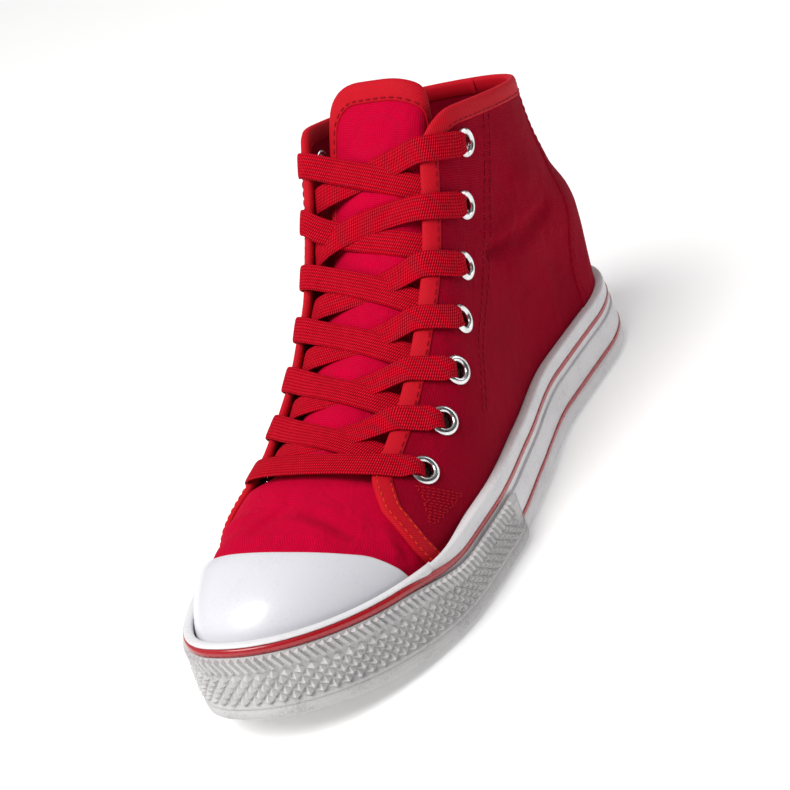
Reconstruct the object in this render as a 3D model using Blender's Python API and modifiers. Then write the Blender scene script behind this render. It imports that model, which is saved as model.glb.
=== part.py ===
"""A left high-top canvas sneaker with a zip on its inner side, as an assembly of named solids.

Frame: +X from heel to toe, +Y to the outer (lateral) side, +Z up. The origin is on the ground
under the middle of the heel. Lengths in the tables are millimetres, and MM turns them to metres
where a mesh is made.

The shoe is worked out from one surface, the outside of its last. Seen from the side, straight
fan lines run from the ridge (toe tip, over the instep, to the front of the collar) to the base
(toe tip, along the feather line where the upper meets the sole, round the heel and up the back).
A place on the surface is (u, s): u runs along the shoe, 0 at the toe tip and 1 at the collar,
and s is the distance from the ridge along the fan line's slice, + lateral and - medial.
"""

import math
from functools import lru_cache

import bmesh
import bpy
import numpy as np
from mathutils import Matrix, Vector

MM = 0.001
WELD = 0.00002
GAP = 0.35

# Driving dimensions of the last
LAST_REAR = -29.5
LAST_TIP = 221.0
FEATHER_HEEL = 20.0
FEATHER_FORE = 18.0
TOE_SPRING = 10.0
SPRING_START = 150.0
COLLAR_FRONT = 62.5
COLLAR_BACK_Z = 107.5
BASE_EASE = 0.28
WALL = 2.0

# Plan of the last at the feather line: station x, lateral half, medial half, centre line y
PLAN = (
    (-30.0, 27.5, 27.8, 0.0),
    (0.0, 27.5, 27.8, 0.0),
    (45.0, 28.0, 26.3, 0.0),
    (90.0, 36.0, 26.8, 0.0),
    (130.0, 42.1, 31.8, 0.0),
    (160.0, 42.8, 33.4, 0.0),
    (185.0, 40.8, 29.4, 0.3),
    (222.0, 35.2, 21.8, 2.6),
)
# Ridge of the last in side view: x, height z; the steep rows are the front of the shaft
RIDGE = (
    (20.0, 215.0),
    (40.0, 166.0),
    (55.0, 137.6),
    (66.5, 118.9),
    (77.1, 103.2),
    (88.4, 88.7),
    (101.5, 76.9),
    (117.4, 67.0),
    (134.7, 59.0),
    (150.2, 54.0),
    (165.0, 50.2),
    (185.8, 46.6),
    (205.0, 44.2),
    (222.0, 42.4),
)
# Back of the last in side view: height z, x; it swells at the heel and draws in at the tendon
BACK = (
    (10.0, -29.5),
    (28.0, -29.6),
    (48.0, -33.2),
    (61.0, -31.8),
    (75.0, -25.0),
    (92.0, -19.6),
    (112.0, -17.2),
    (160.0, -16.6),
)
# Shaft: height z, lateral half width, medial half width
SHAFT = (
    (20.0, 28.0, 28.0),
    (60.0, 30.2, 28.4),
    (90.0, 29.2, 29.0),
    (125.0, 30.4, 30.2),
    (160.0, 31.0, 31.0),
)
# How square a slice is: station x, exponent of its rounded top (2 is an ellipse)
SQUARENESS = (
    (-30.0, 6.0),
    (60.0, 6.0),
    (100.0, 5.0),
    (115.0, 3.5),
    (130.0, 2.7),
    (150.0, 2.3),
    (185.0, 2.3),
    (222.0, 2.4),
)
NOSE_START = 155.0
NOSE_SQUARENESS = 2.3
TOE_BOX_START = 180.0
TOE_BOX_SQUARENESS = 2.2
HEEL_TURN_START = 8.0
HEEL_TURN_SQUARENESS = 2.15
# Above the heel, the outer side turns in towards the tendon sooner
TENDON_TURN = 20.0
TENDON_LOW = 54.0
TENDON_SPAN = 22.0

# Throat, lacing rows and eyelets; row 1 is at the collar
THROAT_U = 0.353
ROW_COUNT = 7
ROW_TOP_U = 0.945
ROW_LOW_U = 0.377
FLAP_EDGE_TOP = 22.3
FLAP_EDGE_LOW = 26.0
FLAP_CORNER = 13.0
EYELET_INSET_TOP = 18.8
EYELET_INSET_LOW = 14.6
EYELET_RADIUS = 5.0
EYELET_HOLE = 2.7
EYELET_HEIGHT = 0.9
EYELET_STEPS = 12
LACE_WIDTH = 8.0
LACE_THICK = 1.2
LACE_DROP = 0.62

# Tongue, sole and toe
TONGUE_LOW_U = 0.30
TONGUE_TOP_U = 1.076
TONGUE_THICK = 2.0
TONGUE_DROP = 0.9
TONGUE_SINK = 5.5
TONGUE_SLANT = 0.008
TONGUE_SHIFT = 7.0
INSOLE_THICK = 4.0
BOARD_HEEL = 11.0
BOARD_FORE = 9.0
WAIST_START = 58.0
WAIST_END = 110.0
WAIST_RECESS = 1.2
FOXING_TOP = 25.0
FOXING_CLEAR = 0.8
FOXING_GAP = 0.6
FOXING_OUT_TOP = 3.7
FOXING_OUT_LOW = 4.6
TOE_ROOM = 2.0
TOE_ROOM_START = 140.0
TOE_ROOM_BLEND = 26.0
CAP_GAP = 0.45
CAP_THICK = 1.5
CAP_LAP = 4.0
BEAD_END_X = 171.0
BEAD_THICK = 1.0
BEAD_TOE_MORE = 0.7
STRIPE_ROOM = 2.2
BUMPER_LATERAL_X = 116.0
BUMPER_MEDIAL_X = 140.0
BUMPER_THICK = 1.7
BUMPER_TOE_MORE = 4.8
TOE_RISE_START = 152.0
TOE_RISE_LENGTH = 34.0

# Cap's rear edge: share of the way down (- medial, + lateral), u
CAP_EDGE = (
    (-1.0, 0.160),
    (-0.5, 0.167),
    (0.0, 0.175),
    (0.25, 0.180),
    (0.37, 0.185),
    (0.52, 0.193),
    (0.66, 0.200),
    (0.80, 0.197),
    (1.0, 0.185),
)
# Zip's opening in the medial wall: height z, rear edge x, front edge x
ZIP_SLOT = (
    (130.0, 5.0, 29.0),
    (119.0, 5.6, 21.0),
    (112.0, 6.0, 17.4),
    (92.0, 7.0, 14.6),
    (72.0, 8.8, 14.2),
    (60.0, 12.0, 16.0),
    (53.0, 15.6, 16.9),
)
# Zip's middle line: height z, station x; it bends forward at its foot
ZIP_LINE = (
    (48.0, 17.0),
    (53.0, 16.2),
    (59.0, 14.6),
    (68.0, 11.8),
    (78.0, 10.5),
    (90.0, 10.4),
    (120.0, 10.4),
)
SLOT_CUT_Y = -36.0
SLOT_CUT_DEPTH = 48.0
ZIP_LOW_Z = 49.0
ZIP_TOP_Z = 113.0
ZIP_CHAIN_TOP_Z = 103.5
ZIP_CHAIN_LOW_Z = 53.0
ZIP_TAPE_HALF = 9.0
ZIP_TAPE_THICK = 0.6
ZIP_CHAIN_HALF = 2.3
ZIP_CHAIN_THICK = 1.6
CHAIN_BEHIND_WALL = 0.7
ZIP_TAPE_ROWS = 10
ZIP_PARTED = 1.5
ZIP_PARTING_LENGTH = 8.0
SLIDER_X = 10.4
SLIDER_Z = 109.5
SLIDER_HALF = 4.0
SLIDER_LENGTH = 9.4
PIVOT_RISE = 1.3
PULL_WIRE = 1.5
LINK_CLEAR = 0.65
LINK_LENGTH = 15.0
LINK_HALF = 3.4
TAB_LENGTH = 16.0
TAB_HALF = 3.2
TAB_NECK_HALF = 1.6
TAB_THICK = 1.1
TAB_HOLE_RISE = 1.6
TAB_HOLE_LENGTH = 4.2
TAB_HOLE_HALF = 1.3
LINK_WIRE = 1.3
KNUCKLE_HALF = 1.1
KNUCKLE_OUT = 1.95
KNUCKLE_BORE = 1.25
KNUCKLE_STEPS = 12

FINISHES = {
    "canvas": ((0.62, 0.006, 0.022), 0.85, 0.0),
    "rubber_white": ((0.84, 0.84, 0.82), 0.45, 0.0),
    "outsole": ((0.80, 0.80, 0.78), 0.6, 0.0),
    "insole": ((0.55, 0.52, 0.47), 0.9, 0.0),
    "lace": ((0.58, 0.004, 0.012), 0.8, 0.0),
    "eyelet": ((0.82, 0.82, 0.83), 0.3, 1.0),
    "zip_tape": ((0.012, 0.012, 0.013), 0.8, 0.0),
    "zip_metal": ((0.32, 0.30, 0.27), 0.4, 1.0),
}


def smooth(value):
    """0 to 1 with flat ends."""
    t = np.clip(value, 0.0, 1.0)
    return t * t * (3.0 - 2.0 * t)


def curve_through(knots, values):
    """A smooth curve through a table's rows that never overshoots them, straight past its ends."""
    x = np.array(knots, float)
    y = np.array(values, float)
    step = np.diff(x)
    slope = np.diff(y) / step
    tangent = np.zeros(len(x))
    tangent[0] = slope[0]
    tangent[-1] = slope[-1]
    for i in range(1, len(x) - 1):
        if slope[i - 1] * slope[i] > 0:
            before = 2 * step[i] + step[i - 1]
            after = step[i] + 2 * step[i - 1]
            tangent[i] = (before + after) / (before / slope[i - 1] + after / slope[i])

    def value_at(place):
        at = np.asarray(place, float)
        i = np.clip(np.searchsorted(x, at) - 1, 0, len(step) - 1)
        t = np.clip((at - x[i]) / step[i], 0.0, 1.0)
        inside = (
            y[i] * (1 + 2 * t) * (1 - t) ** 2
            + tangent[i] * step[i] * t * (1 - t) ** 2
            + y[i + 1] * t * t * (3 - 2 * t)
            + tangent[i + 1] * step[i] * t * t * (t - 1)
        )
        past = np.where(at > x[-1], (at - x[-1]) * tangent[-1], 0.0)
        short = np.where(at < x[0], (at - x[0]) * tangent[0], 0.0)
        return inside + past + short

    return value_at


def columns(table, index):
    """The curve through one column of a table against its first column."""
    return curve_through([row[0] for row in table], [row[index] for row in table])


plan_half = {1: columns(PLAN, 1), -1: columns(PLAN, 2)}
plan_centre = columns(PLAN, 3)
ridge_height = columns(RIDGE, 1)
back_x = columns(BACK, 1)
shaft_half = {1: columns(SHAFT, 1), -1: columns(SHAFT, 2)}
squareness = columns(SQUARENESS, 1)
zip_line = columns(ZIP_LINE, 1)


def spring(x):
    """How far the toe spring lifts the sole at a station."""
    t = np.clip((x - SPRING_START) / (LAST_TIP - SPRING_START), 0.0, None)
    return TOE_SPRING * t * t


def ground(x):
    """The sole's underside: flat under heel and ball, hollowed at the waist, sprung at the toe."""
    t = np.clip((x - WAIST_START) / (WAIST_END - WAIST_START), 0.0, 1.0)
    return spring(x) + WAIST_RECESS * np.sin(math.pi * t) ** 2


def board(x):
    """The top of the outsole, where the upper and the insole stand."""
    return BOARD_HEEL + (BOARD_FORE - BOARD_HEEL) * smooth((x - 20.0) / 120.0) + spring(x)


def feather(x):
    """The height at which the last is widest, just above the sole."""
    return FEATHER_HEEL + (FEATHER_FORE - FEATHER_HEEL) * smooth((x - 20.0) / 120.0) + spring(x)


def ridge(x):
    """The height of the last's top line, rounded down to the feather line at the toe."""
    t = np.clip((x - TOE_BOX_START) / (LAST_TIP - TOE_BOX_START), 0.0, 1.0)
    drop = (1 - t**TOE_BOX_SQUARENESS) ** (1 / TOE_BOX_SQUARENESS)
    low = feather(x)
    return low + (ridge_height(x) + 0.8 * spring(x) - low) * drop


def half_width(side, x, z):
    """Half the last's width at a place in side view: foot below, shaft above, rounded over the top."""
    t = np.clip((x - NOSE_START) / (LAST_TIP - NOSE_START), 0.0, 1.0)
    nose = (1 - t**NOSE_SQUARENESS) ** (1 / NOSE_SQUARENESS)
    shaft = smooth((z - 35.0) / 45.0) * smooth((125.0 - x) / 70.0)
    width = plan_half[side](x) * nose * (1 - shaft) + shaft_half[side](z) * shaft
    low = feather(x)
    up = np.clip((z - low) / np.maximum(ridge(x) - low, 1e-6), 0.0, 1.0)
    power = squareness(x)
    over = (1 - up**power) ** (1 / power)
    start = HEEL_TURN_START + max(side, 0) * TENDON_TURN * smooth((z - TENDON_LOW) / TENDON_SPAN)
    back = np.clip((start - x) / (start - back_x(z)), 0.0, 1.0)
    turn = (1 - back**HEEL_TURN_SQUARENESS) ** (1 / HEEL_TURN_SQUARENESS)
    return width * over * turn


def lengths(path):
    """Distance along a path of points, from its first."""
    return np.concatenate([[0.0], np.cumsum(np.linalg.norm(np.diff(path, axis=0), axis=1))])


PATH_POINTS = 300
RIDGE_PAST_COLLAR = 14.0
ridge_x = LAST_TIP - (LAST_TIP - COLLAR_FRONT + RIDGE_PAST_COLLAR) * (
    1 - np.cos(np.linspace(0, math.pi / 2, PATH_POINTS))
)
RIDGE_PATH = np.column_stack([ridge_x, ridge(ridge_x)])
RIDGE_RUN = lengths(RIDGE_PATH)
RIDGE_LENGTH = float(np.interp(-COLLAR_FRONT, -ridge_x, RIDGE_RUN))
feather_x = np.linspace(LAST_TIP, LAST_REAR, PATH_POINTS)
heel_z = np.linspace(float(feather(LAST_REAR)), 160.0, PATH_POINTS)[1:]
BASE_PATH = np.concatenate(
    [np.column_stack([feather_x, feather(feather_x)]), np.column_stack([back_x(heel_z), heel_z])]
)
BASE_RUN = lengths(BASE_PATH)
FEATHER_LENGTH = float(BASE_RUN[PATH_POINTS - 1])
BACK_LENGTH = float(np.interp(COLLAR_BACK_Z, heel_z, BASE_RUN[PATH_POINTS:])) - FEATHER_LENGTH
BASE_LENGTH = FEATHER_LENGTH + BACK_LENGTH


def base_share(u):
    """The share of the base's length at u; the fan lines lean back more towards the toe."""
    return (1 - BASE_EASE + BASE_EASE * u) * u


HEEL_U = float(
    np.interp(FEATHER_LENGTH / BASE_LENGTH, base_share(np.linspace(0, 1, 2001)), np.linspace(0, 1, 2001))
)
SLICE_POINTS = 72
SEAM_MATCH = 0.01  # from here on up the heel, both sides end on the back seam


@lru_cache(maxsize=None)
def fan_slice(u):
    """One slice of the last: distances from the ridge, medial ones below 0, and their points."""
    top = [np.interp(u * RIDGE_LENGTH, RIDGE_RUN, RIDGE_PATH[:, i]) for i in (0, 1)]
    low = [np.interp(base_share(u) * BASE_LENGTH, BASE_RUN, BASE_PATH[:, i]) for i in (0, 1)]
    share = np.sin(np.linspace(0, 1, SLICE_POINTS) * math.pi / 2) ** 2
    x = top[0] + (low[0] - top[0]) * share
    z = top[1] + (low[1] - top[1]) * share
    halves = []
    for side in (-1, 1):
        y = plan_centre(x) + side * half_width(side, x, z)
        y[0] = plan_centre(top[0])
        if base_share(u) * BASE_LENGTH > FEATHER_LENGTH - SEAM_MATCH:
            y[-1] = plan_centre(low[0])
        points = np.column_stack([x, y, z])
        halves.append((lengths(points), points))
    distance = np.concatenate([-halves[0][0][::-1], halves[1][0][1:]])
    points = np.concatenate([halves[0][1][::-1], halves[1][1][1:]])
    return distance, points


def on_last(u, s):
    """The point of the last's surface at (u, s)."""
    distance, points = fan_slice(round(float(u), 6))
    return np.array([np.interp(s, distance, points[:, i]) for i in range(3)])


def reach(u, side):
    """How far the surface runs from the ridge to the base on one side."""
    distance = fan_slice(round(float(u), 6))[0]
    return float(distance[-1] if side > 0 else -distance[0])


def outward(u, s):
    """The surface's outward direction at (u, s)."""
    along = on_last(u + 0.004, s) - on_last(u - 0.004, s)
    across = on_last(u, s + 1.0) - on_last(u, s - 1.0)
    direction = np.cross(across, along)
    return direction / np.linalg.norm(direction)


def skin(u, s, rise=0.0):
    """A point over (+) or under (-) the last's surface."""
    return on_last(u, s) + rise * outward(u, s)


def row_u(row):
    """Where a lacing row lies; row 1 is at the collar and row 7 at the toe."""
    return ROW_TOP_U + (ROW_LOW_U - ROW_TOP_U) * (row - 1) / (ROW_COUNT - 1)


def up_the_rows(u, low, top):
    """A value that runs evenly from one at the lowest lacing row to one at the highest."""
    return low + (top - low) * (u - ROW_LOW_U) / (ROW_TOP_U - ROW_LOW_U)


def flap_line(u):
    """The distance from the ridge to the lacing flaps' edge, without its corner at the collar."""
    return up_the_rows(u, FLAP_EDGE_LOW, FLAP_EDGE_TOP)


def flap_edge(u):
    """The distance from the ridge to the lacing flaps' edge, with its rounded corner."""
    past = np.clip(FLAP_CORNER - (1.0 - u) * RIDGE_LENGTH, 0.0, FLAP_CORNER)
    return float(flap_line(u) + FLAP_CORNER - math.sqrt(FLAP_CORNER**2 - past**2))


def eyelet_line(u):
    """The distance from the ridge to the middle of the eyelets."""
    return flap_line(u) + up_the_rows(u, EYELET_INSET_LOW, EYELET_INSET_TOP)


def material(name):
    """The finish of that name, as a Principled material."""
    if name in bpy.data.materials:
        return bpy.data.materials[name]
    colour, roughness, metallic = FINISHES[name]
    made = bpy.data.materials.new(name)
    made.use_nodes = True
    shader = made.node_tree.nodes["Principled BSDF"]
    shader.inputs["Base Color"].default_value = (*colour, 1.0)
    shader.inputs["Roughness"].default_value = roughness
    shader.inputs["Metallic"].default_value = metallic
    made.diffuse_color = (*colour, 1.0)
    return made


def add_object(name, mesh, finish, collection):
    """Puts a mesh in the scene as a named object with its own finish."""
    made = bpy.data.objects.new(name, mesh)
    collection.objects.link(made)
    if finish and not mesh.materials:
        mesh.materials.append(material(finish))
    return made


def add_patch(shape, grid, flip=False):
    """Adds a grid of points to a bmesh as quads, and leaves out those that have no width."""
    rows = [[shape.verts.new(Vector(point) * MM) for point in row] for row in grid]
    for low, high in zip(rows, rows[1:]):
        for i in range(len(low) - 1):
            corners = [low[i], low[i + 1], high[i + 1], high[i]]
            shape.faces.new(corners[::-1] if flip else corners)


def finish_mesh(shape, name):
    """Welds a bmesh's doubles, drops faces that fell flat, and makes it a smooth mesh."""
    bmesh.ops.remove_doubles(shape, verts=shape.verts, dist=WELD)
    bmesh.ops.dissolve_degenerate(shape, edges=shape.edges, dist=WELD)
    bmesh.ops.recalc_face_normals(shape, faces=shape.faces)
    mesh = bpy.data.meshes.new(name)
    shape.to_mesh(mesh)
    shape.free()
    mesh.shade_smooth()
    return mesh


def face_away(mesh, inside):
    """Turns an open sheet's faces so that they point away from a line through the shoe."""
    area = 0.0
    for face in mesh.polygons:
        area += face.area * face.normal.dot((face.center - inside).normalized())
    if area < 0:
        mesh.flip_normals()


def solidify(made, thickness, offset):
    """Gives a sheet its thickness; offset -1 grows it inwards, 1 outwards."""
    wall = made.modifiers.new("Wall", "SOLIDIFY")
    wall.thickness = thickness * MM
    wall.offset = offset
    wall.use_even_offset = True
    wall.use_quality_normals = True
    return wall


def boolean(made, other, operation):
    """Cuts or joins another object."""
    step = made.modifiers.new(operation.title(), "BOOLEAN")
    step.operation = operation
    step.solver = "EXACT"
    step.object = other


def baked(made):
    """Makes an object's modifiers final, so that it can be joined to another."""
    graph = bpy.context.evaluated_depsgraph_get()
    mesh = bpy.data.meshes.new_from_object(made.evaluated_get(graph))
    made.modifiers.clear()
    made.data = mesh
    return made


def joined(name, pieces, finish, collection):
    """One solid from several closed pieces, by Boolean union."""
    first = pieces[0]
    for other in pieces[1:]:
        boolean(first, other, "UNION")
    bpy.context.view_layer.update()
    baked(first)
    first.name = name
    first.data.name = name
    for other in pieces[1:]:
        bpy.data.objects.remove(other)
    first.data.materials.clear()
    first.data.materials.append(material(finish))
    return first


def flat_plate(name, loops, y, thickness, finish, collection):
    """A flat plate in the X-Z plane from closed outlines, holes included, by a filled 2D curve."""
    curve = bpy.data.curves.new(name, "CURVE")
    curve.dimensions = "2D"
    curve.fill_mode = "BOTH"
    curve.extrude = thickness / 2 * MM
    for loop in loops:
        spline = curve.splines.new("POLY")
        spline.points.add(len(loop) - 1)
        spline.use_cyclic_u = True
        for point, (x, z) in zip(spline.points, loop):
            point.co = (x * MM, z * MM, 0.0, 1.0)
    drawn = bpy.data.objects.new(name, curve)
    collection.objects.link(drawn)
    bpy.context.view_layer.update()
    graph = bpy.context.evaluated_depsgraph_get()
    mesh = bpy.data.meshes.new_from_object(drawn.evaluated_get(graph))
    bpy.data.objects.remove(drawn)
    mesh.transform(Matrix.Translation((0.0, y * MM, 0.0)) @ Matrix.Rotation(math.pi / 2, 4, "X"))
    shape = bmesh.new()
    shape.from_mesh(mesh)
    bmesh.ops.remove_doubles(shape, verts=shape.verts, dist=WELD)
    shape.to_mesh(mesh)
    shape.free()
    mesh.name = name
    return add_object(name, mesh, finish, collection)


def turned_profile(name, profile):
    """A closed profile of (radius, height) as a mesh of edges, to be turned round Z."""
    shape = bmesh.new()
    corners = [shape.verts.new(Vector((r, 0.0, z)) * MM) for r, z in profile]
    for i in range(len(corners)):
        shape.edges.new([corners[i], corners[(i + 1) % len(corners)]])
    mesh = bpy.data.meshes.new(name)
    shape.to_mesh(mesh)
    shape.free()
    return mesh


def turn(made, steps):
    """Turns an object's profile round its own Z axis."""
    screw = made.modifiers.new("Turn", "SCREW")
    screw.steps = steps
    screw.render_steps = steps
    screw.use_merge_vertices = True
    screw.merge_threshold = 0.00001


# The last's middle, which every wall of the upper faces away from
HEART = Vector((70.0, 0.0, 40.0)) * MM

WALL_ROWS = 14
VAMP_ROWS = 2
VAMP_COLUMNS = 12
QUARTER_COLUMNS = 11
SHAFT_COLUMNS = 9


def upper_columns():
    """Stations along the shoe, closer together at the toe tip, the heel and the collar."""
    turn = math.pi / 2
    vamp = THROAT_U * (1 - np.cos(turn * np.arange(VAMP_COLUMNS + 1) / VAMP_COLUMNS))
    back = np.sin(turn * np.arange(1, QUARTER_COLUMNS + 1) / QUARTER_COLUMNS)
    up = np.sin(turn * np.arange(1, SHAFT_COLUMNS + 1) / SHAFT_COLUMNS)
    quarter = THROAT_U + (HEEL_U - THROAT_U) * back
    shaft = HEEL_U + (1 - HEEL_U) * up
    return list(vamp), list(quarter), list(shaft)


def wall_distances(u, side):
    """Distances from the ridge of the wall's grid lines, closer together at flap and base."""
    full = reach(u, side)
    if u > THROAT_U:
        start = flap_edge(u)
    else:
        start = full * flap_edge(THROAT_U) / reach(THROAT_U, side)
    steps = np.arange(WALL_ROWS + 1) / WALL_ROWS
    share = steps - 0.055 * np.sin(2 * math.pi * steps)
    return start + (full - start) * share


def make_upper(collection, tools):
    """The canvas upper: one hollow wall, open at collar, throat, zip slot and underneath."""
    vamp, quarter, shaft = upper_columns()
    shape = bmesh.new()
    for side in (-1, 1):
        flip = side < 0
        top = [
            [on_last(u, side * d) for d in np.linspace(0, wall_distances(u, side)[0], VAMP_ROWS + 1)]
            for u in vamp
        ]
        add_patch(shape, top, flip)
        wall = [[on_last(u, side * d) for d in wall_distances(u, side)] for u in vamp + quarter + shaft]
        add_patch(shape, wall, flip)
        hem = []
        for u in vamp + quarter:
            foot = on_last(u, side * reach(u, side))
            hem.append([foot, np.array([foot[0], foot[1], float(board(foot[0])) + GAP])])
        add_patch(shape, hem, flip)
    mesh = finish_mesh(shape, "upper")
    face_away(mesh, HEART)
    upper = add_object("upper", mesh, "canvas", collection)
    solidify(upper, WALL, -1)
    boolean(upper, make_slot_cutter(tools), "DIFFERENCE")


def make_slot_cutter(tools):
    """A prism through the medial wall in the outline of the zip's opening."""
    rear = [(x, z) for z, x, _ in ZIP_SLOT]
    front = [(x, z) for z, _, x in ZIP_SLOT]
    cutter = flat_plate("zip_slot_cutter", [rear + front[::-1]], SLOT_CUT_Y, SLOT_CUT_DEPTH, None, tools)
    cutter.hide_render = True
    cutter.display_type = "WIRE"
    return cutter


TONGUE_ROWS = 20
TONGUE_COLUMNS = 10
TONGUE_HALF = 27.5
TONGUE_CORNER = 17.0


def make_tongue(collection):
    """The tongue: a thin curved sheet under the flaps, from under the vamp to past the collar."""
    grid = []
    for i in range(TONGUE_ROWS + 1):
        along = math.sin(math.pi / 2 * i / TONGUE_ROWS)
        from_top = (1 - along) * (TONGUE_TOP_U - TONGUE_LOW_U) * RIDGE_LENGTH
        past = np.clip(TONGUE_CORNER - from_top, 0.0, TONGUE_CORNER)
        half = TONGUE_HALF - TONGUE_CORNER + math.sqrt(TONGUE_CORNER**2 - past**2)
        row = []
        for share in np.linspace(-1, 1, TONGUE_COLUMNS + 1):
            top_u = TONGUE_TOP_U - TONGUE_SLANT * (1 + share) / 2
            u = TONGUE_LOW_U + (top_u - TONGUE_LOW_U) * along
            sink = TONGUE_SINK * (half * share / TONGUE_HALF) ** 2
            row.append(skin(u, half * share + TONGUE_SHIFT * along**3, -(WALL + TONGUE_DROP + sink)))
        grid.append(row)
    shape = bmesh.new()
    add_patch(shape, grid)
    mesh = finish_mesh(shape, "tongue")
    face_away(mesh, HEART)
    solidify(add_object("tongue", mesh, "canvas", collection), TONGUE_THICK, -1)


OUTLINE_STEPS = 40


def outline_stations():
    """Stations round half the sole, from toe tip to heel, closer together at both ends."""
    middle = (LAST_TIP + LAST_REAR) / 2
    radius = (LAST_TIP - LAST_REAR) / 2
    return middle + radius * np.cos(np.linspace(0, math.pi, OUTLINE_STEPS + 1))


def outline():
    """The feather line's plan: stations, points and outward directions, from the toe tip round
    the lateral side to the heel and back along the medial side."""
    x = outline_stations()
    z = feather(x)
    lateral = np.column_stack([x, plan_centre(x) + half_width(1, x, z)])
    medial = np.column_stack([x, plan_centre(x) - half_width(-1, x, z)])
    points = np.concatenate([lateral, medial[-2:0:-1]])
    stations = np.concatenate([x, x[-2:0:-1]])
    chord = np.roll(points, -1, axis=0) - np.roll(points, 1, axis=0)
    normals = np.column_stack([chord[:, 1], -chord[:, 0]])
    normals /= np.linalg.norm(normals, axis=1)[:, None]
    return stations, points, normals


def toe_room(x):
    """How far outside the last the foxing's inner face stands: further at the toe, over the cap."""
    return FOXING_GAP + TOE_ROOM * smooth((x - TOE_ROOM_START) / TOE_ROOM_BLEND)


def slab(name, inset, low, high, finish, collection):
    """A plate across the sole inside the outline: inset, low and high are functions of the station."""
    stations, points, normals = outline()
    edge = points - normals * np.array([inset(x) for x in stations])[:, None]
    shape = bmesh.new()
    count = len(stations)
    half = OUTLINE_STEPS
    for i in range(half):
        left = [i, i + 1]
        right = [(count - i) % count, count - i - 1]
        for height, flip in ((low, False), (high, True)):
            quad = [(k, float(height(stations[k]))) for k in (left[0], left[1], right[1], right[0])]
            corners = [shape.verts.new(Vector((*edge[k], z)) * MM) for k, z in quad]
            shape.faces.new(corners[::-1] if flip else corners)
    rows = []
    for k in list(range(count)) + [0]:
        x = stations[k]
        rows.append([(*edge[k], float(low(x))), (*edge[k], float(high(x)))])
    add_patch(shape, rows)
    add_object(name, finish_mesh(shape, name), finish, collection)


def ring(name, profile, finish, collection, first=0, last=None):
    """Sweeps a closed profile of (distance out, height) round the outline, or along part of it."""
    stations, points, normals = outline()
    count = len(stations)
    closed = last is None
    order = list(range(count)) + [0] if closed else list(range(first, last + 1))
    sections = []
    for k in order:
        k = k % count
        section = [(*(points[k] + normals[k] * out), z) for out, z in profile(stations[k])]
        sections.append(section + section[:1])
    shape = bmesh.new()
    add_patch(shape, sections)
    if not closed:
        for section in (sections[0], sections[-1]):
            shape.faces.new([shape.verts.new(Vector(point) * MM) for point in section[:-1]])
    add_object(name, finish_mesh(shape, name), finish, collection)


def foxing_out(x, z):
    """The foxing's outer face: it leans out a little towards the ground."""
    low = float(ground(x))
    share = np.clip((z - low) / (FOXING_TOP + float(spring(x)) - low), 0.0, 1.0)
    return FOXING_OUT_LOW + (FOXING_OUT_TOP - FOXING_OUT_LOW) * float(share)


EDGE_ROUND = 0.8


def foxing_profile(x):
    """The foxing's section: a rubber band round the upper's foot and the outsole's edge."""
    low = float(ground(x)) + FOXING_CLEAR
    high = FOXING_TOP + float(spring(x))
    inner = float(toe_room(x))
    return [
        (inner, low),
        (inner, high),
        (foxing_out(x, high) - EDGE_ROUND, high),
        (foxing_out(x, high), high - EDGE_ROUND),
        (foxing_out(x, low), low + EDGE_ROUND),
        (foxing_out(x, low) - EDGE_ROUND, low),
    ]


def toe_rise(x):
    """0 along the sides, 1 round the toe, where the bumper is taller and the bead narrower."""
    return float(smooth((x - TOE_RISE_START) / TOE_RISE_LENGTH))


def bumper_top(x):
    """The height of the bumper's top edge, with the red stripe's room above it."""
    return FOXING_TOP + float(spring(x)) - 7.6 + BUMPER_TOE_MORE * toe_rise(x)


def bead_profile(x):
    """The toe bead's section: a thin strip on the foxing's top edge, over the stripe's room."""
    high = FOXING_TOP + float(spring(x)) + 0.3 + BEAD_TOE_MORE * toe_rise(x)
    low = bumper_top(x) + STRIPE_ROOM
    inner = foxing_out(x, high) + GAP
    return [
        (inner, low),
        (inner, high),
        (inner + BEAD_THICK - 0.3, high),
        (inner + BEAD_THICK, high - 0.6),
        (inner + BEAD_THICK + 0.1, low),
    ]


def bumper_profile(x):
    """The toe bumper's section: a thick strip round the toe below the stripe."""
    low = float(ground(x)) + FOXING_CLEAR + 0.6
    high = bumper_top(x)
    middle = (low + high) / 2
    return [
        (foxing_out(x, low) + GAP, low),
        (foxing_out(x, high) + GAP, high),
        (foxing_out(x, high) + GAP + BUMPER_THICK * 0.7, high),
        (foxing_out(x, middle) + GAP + BUMPER_THICK, middle),
        (foxing_out(x, low) + GAP + BUMPER_THICK, low + EDGE_ROUND),
        (foxing_out(x, low) + GAP + BUMPER_THICK - EDGE_ROUND, low),
    ]


def toe_span(lateral_x, medial_x):
    """Outline steps from a medial station, round the toe tip, to a lateral one."""
    x = outline_stations()
    lateral = int(np.argmin(abs(x - lateral_x)))
    medial = int(np.argmin(abs(x - medial_x)))
    return -medial, lateral


def make_sole(collection):
    """Outsole, insole, foxing and the strips round the toe."""
    slab("outsole", lambda x: FOXING_GAP - float(toe_room(x)), ground, board, "outsole", collection)
    slab(
        "insole",
        lambda x: WALL + 0.7,
        lambda x: board(x) + GAP,
        lambda x: board(x) + GAP + INSOLE_THICK,
        "insole",
        collection,
    )
    ring("foxing", foxing_profile, "rubber_white", collection)
    first, last = toe_span(BEAD_END_X, BEAD_END_X)
    ring("toe_bead", bead_profile, "rubber_white", collection, first, last)
    first, last = toe_span(BUMPER_LATERAL_X, BUMPER_MEDIAL_X)
    ring("toe_bumper", bumper_profile, "rubber_white", collection, first, last)


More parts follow.
